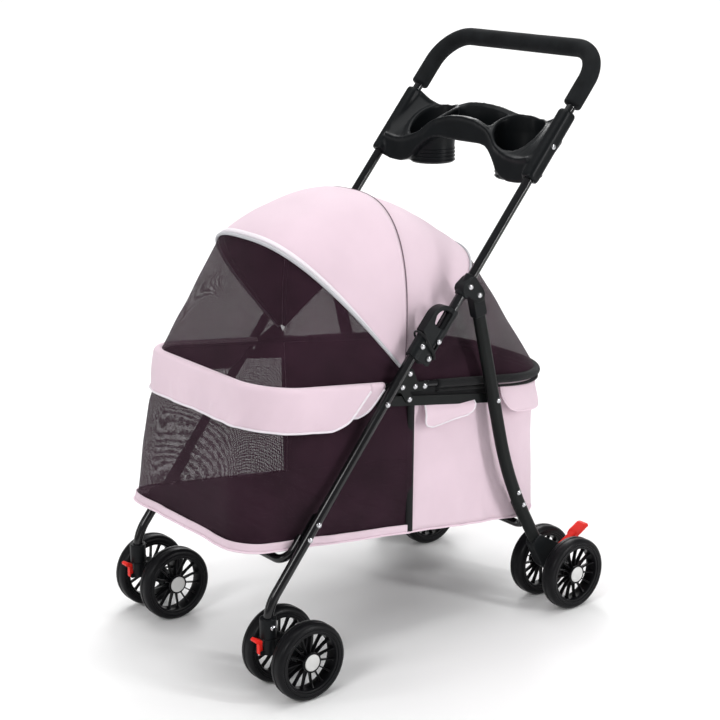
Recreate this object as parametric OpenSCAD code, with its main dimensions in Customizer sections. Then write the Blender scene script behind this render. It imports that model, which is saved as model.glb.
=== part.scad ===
// Folding pet stroller: tube frame, twin wheels, cup tray, soft cabin and canopy.
// Millimetres, +Z up. The front faces -Y, the handle is at +Y, and the user's left side is +X.
// The origin lies on the ground under the middle of the whole object.

/* [Frame] */
// Distance from the middle plane to the leg and handle tubes
track_half = 195; // [190:1:200]
// Outer diameter of the leg and handle tubes
tube_d = 16; // [14:1:16]
// Wall thickness of the tubes
tube_wall = 1.5; // [1:0.1:2]
// Lean of the front legs from the vertical, in degrees
leg_lean = 38.8; // [38:0.1:39.5]
// Lean of the handle tubes from the vertical, in degrees
handle_lean = 39.6; // [39:0.1:40]

/* [Wheels] */
// Diameter over the tyre
wheel_d = 127; // [120:1:130]
// Width of a tyre
tyre_w = 28; // [24:1:28]
// Distance between the two wheels of a pair, middle to middle
twin_spacing = 80; // [78:1:84]
// Number of spokes in a wheel
spoke_count = 15; // [12:1:18]
// Y of the front axles
front_axle_y = -300; // [-305:1:-295]
// Y of the rear axles
rear_axle_y = 271; // [266:1:276]
// Distance that a front axle trails behind its swivel pin
caster_trail = 46; // [44:1:48]
// Radius of the wheel axles
axle_r = 4; // [4:0.5:5]

/* [Cabin] */
// Half width of the rim tube, middle of the tube
rim_half_w = 177.5; // [176:0.5:177.5]
// Distance of the rim's front end from the canopy pivots, along the rim
rim_front_len = 279; // [275:1:285]
// Distance of the rim's rear end from the canopy pivots, along the rim
rim_rear_len = 371; // [360:1:375]
// Radius of the rim's front corners
rim_front_r = 75; // [60:1:110]
// Radius of the rim's rear corners
rim_rear_r = 150; // [120:1:160]
// Downward slope of the rim towards the rear, in degrees
rim_slope = 7; // [6.5:0.1:7.5]
// Depth of the cabin below the rim
cabin_depth = 252; // [235:1:254]
// Thickness of the fabric walls
fabric_t = 3; // [2.5:0.5:4]

/* [Handle] */
// Length of the handle tubes from the fold pivot to the corner of the U
handle_len = 597; // [580:1:600]
// Radius of the handle's corners
handle_corner_r = 62; // [55:1:70]
// Outer radius of the foam grip
grip_r = 15.5; // [14:0.5:17]

/* [Hidden] */
$fn = 48;
hull_fn = 32;
run_gap = 0.05;             // radial running clearance of pins and axles
bend_slim = 0.02;           // a leg's bend is this much slimmer than its straight tubes
bend_lap = 1;               // and they reach into it by this much
tube_r = tube_d / 2;
wheel_r = wheel_d / 2;

// Pivots of the fold linkage, [y, z]: handle on front leg, rear leg on handle,
// rail on rear leg, rail on front leg, and the canopy bows on the rivet plate
fold_pivot = [-36, 497];
rear_leg_pivot = [69.7, 585.3];
rail_rear_pivot = [118.5, 398.1];
rail_front_pivot = [-116.5, 435];
bow_pivot = [-56.8, 471.5];

leg_dir = [sin(leg_lean), cos(leg_lean)];
handle_dir = [sin(handle_lean), cos(handle_lean)];
leg_rivet = rail_front_pivot + 108 * leg_dir;

// Front leg: straight, then an arc into the upright caster socket
leg_top = leg_rivet + 14 * leg_dir;
leg_foot_y = front_axle_y - caster_trail;
leg_bend_r = 75;
leg_corner_z = rail_front_pivot.y - (rail_front_pivot.x - leg_foot_y) / tan(leg_lean);
leg_tangent = leg_bend_r * tan(leg_lean / 2);
leg_bend_z = leg_corner_z - leg_tangent;
leg_bend_top = [leg_foot_y, leg_corner_z] + leg_tangent * leg_dir;
socket_top_z = 134;
socket_low_z = 102;
leg_end_z = 108;
socket_r = 13.5;
swivel_pin_r = 5;

// Front cross tube: two rivets on each leg, measured down the leg from the rail pivot
front_cross_rivets = [217, 244];
front_cross_drop = 48.5;    // from the lower rivet to the crossing part, along the leg
rear_cross_rivets = [[169.7, 224.8], [181.9, 200]];
rear_cross_drop = 62;
cross_r = 7;

// Rear leg: straight, then an arc, then straight to the wheel housing
rear_leg_w = 23;
rear_leg_t = 16;
rear_top_lean = 13.5;
rear_bend = 15;
rear_bend_r = 620;
cap_len = 38;
rear_straight = 262;
rear_foot_len = 100;
rear_low_lean = rear_top_lean + rear_bend;
rear_dir = [sin(rear_top_lean), -cos(rear_top_lean)];
rear_low_dir = [sin(rear_low_lean), -cos(rear_low_lean)];
rear_bend_start = rear_leg_pivot + rear_straight * rear_dir;
rear_bend_centre = rear_bend_start + rear_bend_r * [cos(rear_top_lean), sin(rear_top_lean)];
rear_bend_end = rear_bend_centre - rear_bend_r * [cos(rear_low_lean), sin(rear_low_lean)];
rear_foot = rear_bend_end + rear_foot_len * rear_low_dir;

// Caster fork
fork_low_z = 76;
fork_top_z = 101.6;
fork_hub_r = 13;
axle_boss_r = 12;
axle_boss_half = 25.5;
axle_half = 51;
lock_pivot = [-361.6, 80];

// Rear wheel housing and brake
brake_pivot = [rear_axle_y + 4, wheel_r + 30];
brake_tip = [338, 129];

// Parts at each side, measured across X from the middle plane or from the tube's middle
ring_r = 5.4;
rim_z = 451;                // height of the rim's middle at the canopy pivots
rail_x = 180.2;
rail_t = 2.6;
rail_h = 16;
plate_x = 183;
plate_t = 2.4;
shell_half = 11;
boss_half = 11.3;
slot_half = 8.3;
cap_half = 8.1;
cross_end_x = 184;

// Rivets
rivet_r = 2.5;
pivot_r = 3;
head_r = 4.8;
head_h = 2.6;
hole_gap = 0.02;
plate_rivets = [[-92, 453.2], [-72.5, 451.8], [-46.5, 448.6], [-26.5, 445.8]];
plate_low_rivet = [-58.1, 429];

// Fold joint in its own frame: z runs up the handle tube and y to the rear, the fold pivot at [0, 0]
joint_r = 13;               // shell round the fold pivot
latch_clear = 14;           // latch round the fold pivot
split_lean = 21;            // slope of the line where the latch meets the shell
split_dir = [cos(split_lean), -sin(split_lean)];
split_up = [sin(split_lean), cos(split_lean)];
joint_front = -37.5;
joint_low = -14;
latch_rear = 12.5;
latch_top = 90;
latch_rivet_u = 32;
latch_travel = 12;
bracket_u = 135.5;
bracket_reach = 25.1;
stub_len = 8;

// Cup tray
tray_low_u = 339;
tray_top_u = 475;
grip_low_u = 486;
cup_x = 112;
cup_y = 236;
cup_low_z = 742;
cup_top_z = 832;
cup_r = 40;
cup_rim_r = 46;
tray_mid_z = 850;

// Canopy bows: distance of a bow's middle from the pivot, against its angle above the front
bow_x = 168;
bow_radius = [[5, 268], [50, 286], [70, 276], [91, 271], [104, 262], [117, 257], [130, 259],
              [144, 272], [176, 325], [190, 368]];
bow_round = 0.72;
bow_start = 9;
front_bow_angle = 49;
middle_bow_angle = 91;
rear_hem_angle = 143;

// Wheels
rim_outer_r = 50;
rim_inner_r = 46;
hub_r = 13;
rim_w = 24;
spoke_t = 2.4;
tyre_round = 8;

pink = [0.91, 0.81, 0.87];
black = [0.07, 0.07, 0.08];
mesh_grey = [0.2, 0.14, 0.18];
silver = [0.8, 0.8, 0.82];
red = [0.85, 0.13, 0.12];

SIDES = [["left", 1], ["right", -1]];
TWINS = [["outer", 1], ["inner", -1]];
AXLES = [["front", front_axle_y], ["rear", rear_axle_y]];

// ---- helpers ----

// Points on an arc round c, from angle a0 to a1
function arc(c, r, a0, a1, n = 10) =
  [for (i = [0:n]) c + r * [cos(a0 + (a1 - a0) * i / n), sin(a0 + (a1 - a0) * i / n)]];

// Draws the children on the left side (1) or the right side (-1)
module on_side(side) {
  if (side > 0) children();
  else mirror([1, 0, 0]) children();
}

// Draws the children on both sides
module both_sides() {
  for (s = SIDES) on_side(s[1]) children();
}

// A [y, z] outline extruded across X from x0 to x1
module across(x0, x1) {
  translate([x0, 0, 0]) rotate([90, 0, 90]) linear_extrude(x1 - x0) children();
}

// A round bar along X at p = [y, z]
module bar_x(x0, x1, p, r) {
  translate([x0, p.x, p.y]) rotate([0, 90, 0]) cylinder(r = r, h = x1 - x0);
}

// Domed rivet: its head's flat side lies at x_face and its shank reaches in to x_end
module rivet(x_face, x_end, p, r = rivet_r) {
  translate([x_face, p.x, p.y]) rotate([0, 90, 0]) {
    rotate_extrude() polygon([
      [0, 0], [head_r, 0], [head_r * 0.94, head_h * 0.4],
      [head_r * 0.74, head_h * 0.74], [head_r * 0.4, head_h * 0.95], [0, head_h]
    ]);
    translate([0, 0, x_end - x_face]) cylinder(r = r, h = x_face - x_end);
  }
}

// The handle's frame at the middle plane: z runs up the handle tubes, y to the rear
module handle_frame() {
  translate([0, fold_pivot.x, fold_pivot.y]) rotate([-handle_lean, 0, 0]) children();
}

// The fold joint's frame: the handle's frame moved to the left tube
module joint_frame() {
  handle_frame() translate([track_half, 0, 0]) children();
}

// The rim's frame: x and y lie in the rim's plane
module rim_frame() {
  translate([0, bow_pivot.x, rim_z]) rotate([-rim_slope, 0, 0]) children();
}

// Flat-oval section, long side along x
module oval(w, t) {
  square([w - t, t], center = true);
  for (s = [-1, 1]) translate([s * (w - t) / 2, 0]) circle(d = t);
}

// Rectangle with round corners, made of plain shapes
module round_box(w, h, r) {
  square([w - 2 * r, h], center = true);
  square([w, h - 2 * r], center = true);
  for (x = [-1, 1], y = [-1, 1]) translate([x * (w / 2 - r), y * (h / 2 - r)]) circle(r = r);
}

// ---- front frame ----

// Path of a front leg at the middle plane, with diameter d and its ends moved out by ext
module leg_path(d, ext = 0) {
  start = leg_bend_top - bend_lap * leg_dir;
  translate([0, start.x, start.y]) rotate([-leg_lean, 0, 0])
    cylinder(d = d, h = norm(leg_top - start) + ext);
  translate([0, leg_foot_y + leg_bend_r, leg_bend_z]) rotate([90, 0, -90])
    rotate_extrude(angle = leg_lean) translate([leg_bend_r, 0]) circle(d = d - 2 * bend_slim);
  translate([0, leg_foot_y, leg_end_z - ext])
    cylinder(d = d, h = leg_bend_z - leg_end_z + ext + bend_lap);
}

function front_cross_point(i) = rail_front_pivot - front_cross_rivets[i] * leg_dir;

module front_leg(side) {
  color(black) on_side(side) difference() {
    translate([track_half, 0, 0]) leg_path(tube_d);
    translate([track_half, 0, 0]) leg_path(tube_d - 2 * tube_wall, 1);
    for (i = [0, 1]) bar_x(170, 220, front_cross_point(i), rivet_r + hole_gap);
    bar_x(170, 220, rail_front_pivot, pivot_r + hole_gap);
    bar_x(170, 220, leg_rivet, rivet_r + hole_gap);
    bar_x(track_half, 220, [leg_foot_y, (socket_top_z + leg_end_z) / 2], rivet_r + hole_gap);
  }
}

// A U-shaped cross tube: flattened ends on the legs' inner sides, then down and across.
// top and low are a flattened end's rivets, lean is the tube's slope and drop its length below low.
module cross_tube(top, low, lean, drop) {
  corner_r = 28;
  end_w = 13;
  x_down = cross_end_x - cross_r + 2;
  down = [sin(lean), -cos(lean)];
  color(black) difference() {
    union() {
      both_sides() across(cross_end_x, track_half - tube_r) hull() {
        translate(top - 8 * down) circle(d = end_w, $fn = hull_fn);
        translate(low + 6 * down) circle(d = end_w, $fn = hull_fn);
      }
      translate([0, low.x, low.y]) rotate([180 + lean, 0, 0]) {
        for (s = [-1, 1]) {
          translate([s * x_down, 0, 0]) cylinder(r = cross_r, h = drop - corner_r);
          translate([s * (x_down - corner_r), 0, drop - corner_r]) rotate([90, 0, 0])
            rotate([0, 0, s > 0 ? 0 : 90]) rotate_extrude(angle = 90)
              translate([corner_r, 0]) circle(r = cross_r);
        }
        translate([corner_r - x_down, 0, drop]) rotate([0, 90, 0])
          cylinder(r = cross_r, h = 2 * (x_down - corner_r));
      }
    }
    both_sides() for (p = [top, low]) bar_x(170, 220, p, rivet_r + hole_gap);
  }
}

module front_cross_tube() {
  cross_tube(front_cross_point(0), front_cross_point(1), -leg_lean, front_cross_drop);
}

// Outline of the fold joint shell, in the joint frame as [y, z]
function shell_outline() = concat(
  arc([0, 0], joint_r, 90 - split_lean, -100, 14),
  [[-14, joint_low], [joint_front + 8, joint_low]],
  arc([joint_front + 6, joint_low + 8], 6, 240, 180, 4),
  [split_point(joint_front, joint_r)]
);

// Point at a given y on the split line that passes at distance d above the fold pivot
function split_point(y, d) = [y, (d - y * split_up.x) / split_up.y];

module fold_joint(side) {
  leg_y = -leg_gap();
  color(black) on_side(side) difference() {
    union() {
      joint_frame() intersection() {
        union() {
          translate([0, leg_y, -30]) cylinder(r = shell_half, h = 90);
          translate([0, 0, -30]) cylinder(r = shell_half, h = 90);
          translate([-slot_half - 1.6, leg_y, -30]) cube([2 * slot_half + 3.2, -leg_y + 8, 90]);
        }
        across(-20, 20) polygon(shell_outline());
      }
      bar_x(track_half, track_half + boss_half, leg_rivet, 6);
      bar_x(track_half + slot_half, track_half + boss_half, fold_pivot, 6);
    }
    translate([track_half, leg_bend_top.x, leg_bend_top.y]) rotate([-leg_lean, 0, 0])
      cylinder(d = tube_d + 2 * hole_gap, h = norm(leg_top - leg_bend_top) + 0.5);
    joint_frame() translate([-slot_half, -9, -40]) cube([2 * slot_half, 40, 120]);
    joint_frame() translate([-slot_half, -12.8, -13]) cube([2 * slot_half, 30, 26]);
    bar_x(150, 230, leg_rivet, rivet_r + hole_gap);
    bar_x(150, 230, fold_pivot, pivot_r + hole_gap);
  }
}

// Distance between the leg's and the handle's middles at the fold joint
function leg_gap() = -(leg_rivet - fold_pivot) * [cos(handle_lean), -sin(handle_lean)];

module caster_sockets() {
  color(black) both_sides() difference() {
    union() {
      translate([track_half, leg_foot_y, socket_low_z])
        cylinder(r = socket_r, h = socket_top_z - socket_low_z);
      bar_x(track_half, track_half + socket_r + 0.4, [leg_foot_y, (socket_top_z + leg_end_z) / 2], 5.5);
    }
    translate([track_half, 0, 0]) leg_path(tube_d + 2 * hole_gap);
    translate([track_half, leg_foot_y, socket_low_z - 1])
      cylinder(r = swivel_pin_r + hole_gap, h = 20);
    bar_x(track_half, 230, [leg_foot_y, (socket_top_z + leg_end_z) / 2], rivet_r + hole_gap);
  }
}

module swivel_pins() {
  color(silver) both_sides() translate([track_half, leg_foot_y, fork_low_z + 6])
    cylinder(r = swivel_pin_r, h = leg_end_z + 6 - fork_low_z);
}

// Elastic loop round the fold joint, just below the latch
module safety_rings() {
  loop_r = 14.6;
  cord_r = 1.7;
  half = 14;
  middle = split_point(-12.5, joint_r - 3);
  color(black) both_sides() joint_frame() translate([0, middle.x, middle.y])
    rotate([-split_lean, 0, 0]) {
      for (s = [-1, 1]) {
        translate([s * loop_r, 0, 0]) rotate([90, 0, 0])
          cylinder(r = cord_r, h = 2 * half, center = true);
        translate([0, s * half, 0]) rotate([0, 0, s > 0 ? 0 : 180])
          rotate_extrude(angle = 180) translate([loop_r, 0]) circle(r = cord_r);
      }
    }
}

module front_rivets() {
  outer = track_half + tube_r;
  inner = track_half - tube_r;
  color(silver) both_sides() {
    for (i = [0, 1]) rivet(outer, cross_end_x, front_cross_point(i));
    rivet(outer, rail_x - 2, rail_front_pivot, pivot_r);
    rivet(track_half + boss_half, track_half - shell_half, leg_rivet);
    rivet(track_half + boss_half, track_half - shell_half, fold_pivot, pivot_r);
    rivet(track_half + socket_r + 0.4, track_half + swivel_pin_r + 0.5,
          [leg_foot_y, (socket_top_z + leg_end_z) / 2]);
  }
}

// ---- handle ----

// The U of the handle in the handle frame, from height u0 up, with radius r
module handle_path(r, u0) {
  straight = handle_len - handle_corner_r;
  for (s = [-1, 1]) {
    translate([s * track_half, 0, u0]) cylinder(r = r, h = straight - u0);
    translate([s * (track_half - handle_corner_r), 0, straight]) rotate([90, 0, 0])
      rotate([0, 0, s > 0 ? 0 : 90]) rotate_extrude(angle = 90)
        translate([handle_corner_r, 0]) circle(r = r);
  }
  translate([handle_corner_r - track_half, 0, handle_len]) rotate([0, 90, 0])
    cylinder(r = r, h = 2 * (track_half - handle_corner_r));
}

module handle_tube() {
  color(black) difference() {
    handle_frame() handle_path(tube_r, -stub_len);
    handle_frame() handle_path(tube_r - tube_wall, -stub_len - 1);
    both_sides() {
      bar_x(150, 230, fold_pivot, pivot_r + run_gap);
      bar_x(150, 230, handle_point(latch_rivet_u), rivet_r + hole_gap);
      bar_x(150, 230, handle_point(bracket_u), rivet_r + hole_gap);
      bar_x(150, 230, handle_point((tray_low_u + tray_top_u) / 2), rivet_r + hole_gap);
    }
  }
}

// Point on the handle tube's middle at height u above the fold pivot
function handle_point(u) = fold_pivot + u * handle_dir;

module foam_grip() {
  color(black) handle_frame() difference() {
    handle_path(grip_r, grip_low_u);
    handle_path(tube_r + hole_gap, grip_low_u - 1);
  }
}

module cup_tray() {
  tray_back_y = cup_y + 42;
  tray_front_y = cup_y - 38;
  color(black) difference() {
    both_sides() {
      joint_frame() translate([0, 0, tray_low_u]) linear_extrude(tray_top_u - tray_low_u)
        round_box(25, 28, 5);
      hull() {
        joint_frame() translate([-12.4, -8, tray_low_u + 12]) cube([4, 16, 92]);
        translate([cup_x, cup_y, cup_top_z - 22]) cylinder(r = cup_rim_r, h = 22, $fn = hull_fn);
      }
      hull() {
        translate([cup_x, cup_y, cup_top_z - 22]) cylinder(r = cup_rim_r - 6, h = 22, $fn = hull_fn);
        translate([0, tray_front_y, tray_mid_z - 32]) cube([1, tray_back_y - tray_front_y, 32]);
      }
      translate([cup_x, cup_y, cup_low_z]) cylinder(r = cup_r, h = cup_top_z - cup_low_z);
    }
    both_sides() {
      translate([cup_x, cup_y, cup_low_z + 4])
        cylinder(r1 = cup_r - 6, r2 = cup_rim_r - 4, h = cup_top_z - cup_low_z + 1);
      joint_frame() translate([0, 0, tray_low_u - 1])
        cylinder(r = tube_r + hole_gap, h = tray_top_u - tray_low_u + 2);
      bar_x(track_half, 230, handle_point((tray_low_u + tray_top_u) / 2), rivet_r + hole_gap);
    }
    translate([-62, tray_front_y + 12, tray_mid_z - 26])
      cube([124, tray_back_y - tray_front_y - 20, 60]);
  }
}

module leg_brackets() {
  reach = [bracket_reach, bracket_u];
  color(black) both_sides() difference() {
    union() {
      joint_frame() translate([0, 0, bracket_u - 19]) cylinder(r = shell_half, h = 37);
      joint_frame() across(-shell_half, shell_half) hull() {
        translate([-3, bracket_u - 6]) circle(r = 10, $fn = hull_fn);
        translate([1, bracket_u + 8]) circle(r = 10, $fn = hull_fn);
        translate(reach) circle(r = 12.5, $fn = hull_fn);
      }
      bar_x(track_half, track_half + boss_half, handle_point(bracket_u), 6);
      bar_x(track_half + slot_half, track_half + boss_half, rear_leg_pivot, 6);
    }
    joint_frame() translate([0, 0, bracket_u - 30]) cylinder(r = tube_r + hole_gap, h = 60);
    joint_frame() translate([-slot_half, 11.3, bracket_u - 40]) cube([2 * slot_half, 40, 90]);
    bar_x(150, 230, handle_point(bracket_u), rivet_r + hole_gap);
    bar_x(150, 230, rear_leg_pivot, pivot_r + hole_gap);
  }
}

module handle_rivets() {
  screw = handle_point((tray_low_u + tray_top_u) / 2);
  face = track_half + boss_half;
  color(silver) both_sides() {
    rivet(face + 0.3, track_half - shell_half, handle_point(latch_rivet_u));
    rivet(face, track_half - shell_half, handle_point(bracket_u));
    rivet(face, track_half - shell_half, rear_leg_pivot, pivot_r);
    rivet(track_half + 12.5, track_half + tube_r - 2, screw);
  }
}

// Outline of the latch with its finger loop, in the joint frame as [y, z]
function latch_outline() = concat(
  [split_point(joint_front, latch_clear)],
  arc([0, 0], latch_clear, 90 - split_lean, 25, 6),
  [[latch_rear, latch_top - 4], [latch_rear - 4, latch_top]],
  arc([-8, latch_top - 29], 29, 90, 178, 12)
);

// The finger hole, open on the outer side: it uncovers the tube and is round towards the front
function finger_outline() = concat(
  [[-3, latch_top - 38], [-3, latch_top - 9]],
  arc([-9, latch_top - 27], 19, 90, 180, 10),
  [[-24, latch_top - 38], [-16, latch_top - 40]]
);

module fold_latch(side) {
  color(black) on_side(side) difference() {
    joint_frame() intersection() {
      union() {
        cylinder(r = shell_half, h = latch_top + 10);
        translate([-8.6, joint_front - 5, 0]) cube([17.2, -joint_front + 5, latch_top + 10]);
      }
      across(-20, 20) polygon(latch_outline());
    }
    joint_frame() translate([0, 0, -5]) cylinder(r = tube_r + 2 * run_gap, h = latch_top + 20);
    translate([track_half, leg_bend_top.x, leg_bend_top.y]) rotate([-leg_lean, 0, 0])
      cylinder(d = tube_d + 4 * run_gap, h = norm(leg_top - leg_bend_top) + 1);
    joint_frame() across(2.2 - shell_half, 20) polygon(finger_outline());
    joint_frame() across(-20, 20) {
      translate([0, latch_rivet_u]) circle(r = rivet_r + run_gap);
      translate([0, latch_rivet_u - latch_travel]) circle(r = rivet_r + run_gap);
      translate([-rivet_r - run_gap, latch_rivet_u - latch_travel])
        square([2 * (rivet_r + run_gap), latch_travel]);
    }
  }
}

// ---- basket: rails, rim, cabin and the fixed part of the canopy ----

module side_rail(side) {
  rail = rail_rear_pivot - rail_front_pivot;
  turn = atan2(rail.y, rail.x);
  color(black) on_side(side) difference() {
    across(rail_x, rail_x + rail_t) translate(rail_front_pivot) rotate(turn)
      translate([norm(rail) / 2, 0]) oval(norm(rail) + rail_h + 6, rail_h);
    bar_x(150, 230, rail_front_pivot, pivot_r + run_gap);
    bar_x(150, 230, rail_rear_pivot, pivot_r + run_gap);
    bar_x(150, 230, plate_low_rivet, rivet_r + hole_gap);
  }
}

module rivet_plates() {
  row_r = 7.5;
  color(black) both_sides() difference() {
    across(plate_x, plate_x + plate_t) {
      hull() {
        translate(plate_rivets[0] - [6, 0]) circle(r = row_r, $fn = hull_fn);
        translate(plate_rivets[3]) circle(r = row_r, $fn = hull_fn);
      }
      hull() {
        translate(bow_pivot) circle(r = 8.5, $fn = hull_fn);
        translate(plate_rivets[0]) circle(r = row_r, $fn = hull_fn);
        translate(plate_rivets[2]) circle(r = row_r, $fn = hull_fn);
      }
      hull() {
        translate(plate_low_rivet) circle(r = 7, $fn = hull_fn);
        translate(plate_rivets[1]) circle(r = row_r, $fn = hull_fn);
      }
    }
    for (p = plate_rivets) bar_x(150, 230, p, rivet_r + hole_gap);
    bar_x(150, 230, plate_low_rivet, rivet_r + hole_gap);
    bar_x(150, 230, bow_pivot, rivet_r + hole_gap);
  }
}

module rim_tube() {
  half_front = rim_half_w - rim_front_r;
  half_rear = rim_half_w - rim_rear_r;
  color(black) rim_frame() {
    for (s = [-1, 1]) {
      translate([s * half_front, rim_front_r - rim_front_len, 0])
        rotate([0, 0, s > 0 ? -90 : 180]) rotate_extrude(angle = 90)
          translate([rim_front_r, 0]) circle(r = ring_r);
      translate([s * half_rear, rim_rear_len - rim_rear_r, 0])
        rotate([0, 0, s > 0 ? 0 : 90]) rotate_extrude(angle = 90)
          translate([rim_rear_r, 0]) circle(r = ring_r);
      translate([s * rim_half_w, rim_front_r - rim_front_len, 0]) rotate([-90, 0, 0])
        cylinder(r = ring_r, h = rim_rear_len + rim_front_len - rim_front_r - rim_rear_r);
    }
    translate([-half_front, -rim_front_len, 0]) rotate([0, 90, 0])
      cylinder(r = ring_r, h = 2 * half_front);
    translate([-half_rear, rim_rear_len, 0]) rotate([0, 90, 0])
      cylinder(r = ring_r, h = 2 * half_rear);
  }
}

module rail_rivets() {
  face = plate_x + plate_t;
  color(silver) both_sides() {
    for (p = plate_rivets) rivet(face, plate_x, p);
    rivet(face, rail_x, plate_low_rivet);
    rivet(face, plate_x - 6, bow_pivot);
  }
}

// Plan of the cabin in the rim's frame: half width w, ends y0 and y1, corner radii r0 and r1
module cabin_plan(w, y0, y1, r0, r1) {
  for (s = [-1, 1]) {
    translate([s * (w - r0), y0 + r0]) circle(r = r0, $fn = hull_fn);
    translate([s * (w - r1), y1 - r1]) circle(r = r1, $fn = hull_fn);
  }
}

// The cabin's bag, moved in by inset all round; top and low are heights in the rim's frame
module cabin_bag(inset, top, low) {
  flare = 14;
  hull() {
    translate([0, 0, top - 1]) linear_extrude(1)
      hull() cabin_plan(174 - inset, inset - rim_front_len, rim_rear_len - inset,
                        rim_front_r - inset, rim_rear_r - inset);
    translate([0, 0, low]) linear_extrude(1)
      hull() cabin_plan(170.5 - inset, inset - rim_front_len - flare, rim_rear_len + flare - inset,
                        48 - inset, 120 - inset);
  }
}

module cabin_body() {
  color(mesh_grey) rim_frame() difference() {
    cabin_bag(0, -9, -cabin_depth);
    cabin_bag(fabric_t, -7, fabric_t - cabin_depth);
  }
}

module floor_mat() {
  mat_t = 14;
  color(mesh_grey) rim_frame() translate([0, 0, fabric_t - cabin_depth + 0.4])
    linear_extrude(mat_t) hull()
      cabin_plan(161, 6 - rim_front_len, rim_rear_len - 12, 50, 110);
}

// Distance of the canopy's middle line from the pivot at an angle above the front
function bow_dist(a) = lookup(a, bow_radius);

// Point of a bow at angle a, where t runs from one side (0) over the top (90) to the other (180)
function bow_point(a, t, inset) =
  let (reach = (bow_dist(a) - inset) * pow(sin(t), bow_round))
  [(bow_x - inset) * sign(cos(t)) * pow(abs(cos(t)), bow_round),
   bow_pivot.x - reach * cos(a),
   bow_pivot.y + reach * sin(a)];

function steps(lo, hi, n) = [for (i = [0:n]) lo + (hi - lo) * i / n];

// Canopy shell between the angles a0 and a1, as one closed solid of the fabric's thickness
module canopy_shell(a0, a1, na) {
  nt = 22;
  ts = steps(bow_start, 180 - bow_start, nt);
  as = steps(a0, a1, na);
  row = nt + 1;
  skin = row * (na + 1);
  points = concat(
    [for (a = as, t = ts) bow_point(a, t, 0)],
    [for (a = as, t = ts) bow_point(a, t, fabric_t)]
  );
  quads = concat(
    [for (i = [0:na - 1], j = [0:nt - 1]) let (k = i * row + j) [k, k + 1, k + row + 1, k + row]],
    [for (i = [0:na - 1], j = [0:nt - 1]) let (k = skin + i * row + j) [k, k + row, k + row + 1, k + 1]],
    [for (j = [0:nt - 1]) [j, skin + j, skin + j + 1, j + 1]],
    [for (j = [0:nt - 1]) let (k = na * row + j) [k, k + 1, skin + k + 1, skin + k]],
    [for (i = [0:na - 1]) let (k = i * row) [k, k + row, skin + k + row, skin + k]],
    [for (i = [0:na - 1]) let (k = i * row + nt) [k, skin + k, skin + k + row, k + row]]
  );
  triangles = [for (q = quads) each [[q[0], q[1], q[2]], [q[0], q[2], q[3]]]];
  polyhedron(points, triangles, convexity = 6);
}

// Sprung wire bow in a canopy hem at angle a
module bow_wire(a) {
  wire_r = 2.2;
  nt = 26;
  sides = 8;
  deep = fabric_t + wire_r + 1;
  ts = steps(bow_start, 180 - bow_start, nt);
  line = [for (t = ts) bow_point(a, t, deep)];
  normal = [0, sin(a), cos(a)];
  points = [for (i = [0:nt], j = [0:sides - 1])
    let (ahead = line[min(i + 1, nt)] - line[max(i - 1, 0)],
         side = cross(normal, ahead / norm(ahead)))
    line[i] + wire_r * (cos(360 * j / sides) * side + sin(360 * j / sides) * normal)];
  faces = concat(
    [for (i = [0:nt - 1], j = [0:sides - 1])
      let (k = i * sides + j, m = i * sides + (j + 1) % sides) each
      [[k, k + sides, m + sides], [k, m + sides, m]]],
    [[for (j = [0:sides - 1]) j]],
    [[for (j = [sides - 1:-1:0]) nt * sides + j]]
  );
  polyhedron(points, faces, convexity = 6);
}

module rear_canopy() { color(pink) canopy_shell(middle_bow_angle + 1, rear_hem_angle, 6); }
module rear_mesh() { color(mesh_grey) canopy_shell(rear_hem_angle + 1, 186, 6); }
module middle_bow() { color(black) bow_wire(middle_bow_angle + 4); }

// ---- front canopy ----

module front_bow() { color(black) bow_wire(front_bow_angle + 3); }
module front_canopy() { color(pink) canopy_shell(front_bow_angle + 1, middle_bow_angle - 1, 5); }
module front_mesh() { color(mesh_grey) canopy_shell(5, front_bow_angle - 1, 6); }

// ---- rear frame ----

// Places a length along the upper, straight part of the rear leg, z running down it
module down_rear_leg(from) {
  p = rear_leg_pivot + from * rear_dir;
  translate([track_half, p.x, p.y]) rotate([180 + rear_top_lean, 0, 0]) children();
}

// The rear leg's path with section width w and thickness t, its ends moved out by ext
module rear_leg_path(w, t, ext = 0) {
  slim = 2 * bend_slim;
  foot_start = rear_bend_end - bend_lap * rear_low_dir;
  down_rear_leg(cap_len - ext) linear_extrude(rear_straight - cap_len + ext + bend_lap)
    rotate(90) oval(w, t);
  translate([track_half, rear_bend_centre.x, rear_bend_centre.y]) rotate([90, 0, 90])
    rotate([0, 0, 180 + rear_top_lean]) rotate_extrude(angle = rear_bend)
      translate([rear_bend_r, 0]) oval(w - slim, t - slim);
  translate([track_half, foot_start.x, foot_start.y]) rotate([180 + rear_low_lean, 0, 0])
    linear_extrude(rear_foot_len + ext + bend_lap) rotate(90) oval(w, t);
}

module rear_leg(side) {
  color(black) on_side(side) difference() {
    rear_leg_path(rear_leg_w, rear_leg_t);
    rear_leg_path(rear_leg_w - 2 * tube_wall, rear_leg_t - 2 * tube_wall, 1);
    bar_x(150, 230, rail_rear_pivot, rivet_r + hole_gap);
    for (p = rear_cross_rivets) bar_x(150, 230, p, rivet_r + hole_gap);
  }
}

module leg_caps() {
  cap_r = 12;
  color(black) both_sides() difference() {
    union() {
      bar_x(track_half - cap_half, track_half + cap_half, rear_leg_pivot, cap_r);
      down_rear_leg(0) translate([-cap_half, -cap_r, 0]) cube([2 * cap_half, 2 * cap_r, cap_len]);
    }
    bar_x(150, 230, rear_leg_pivot, pivot_r + run_gap);
  }
}

module rear_cross_tube() {
  cross_tube(rear_cross_rivets[0], rear_cross_rivets[1], rear_low_lean, rear_cross_drop);
}

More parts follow.
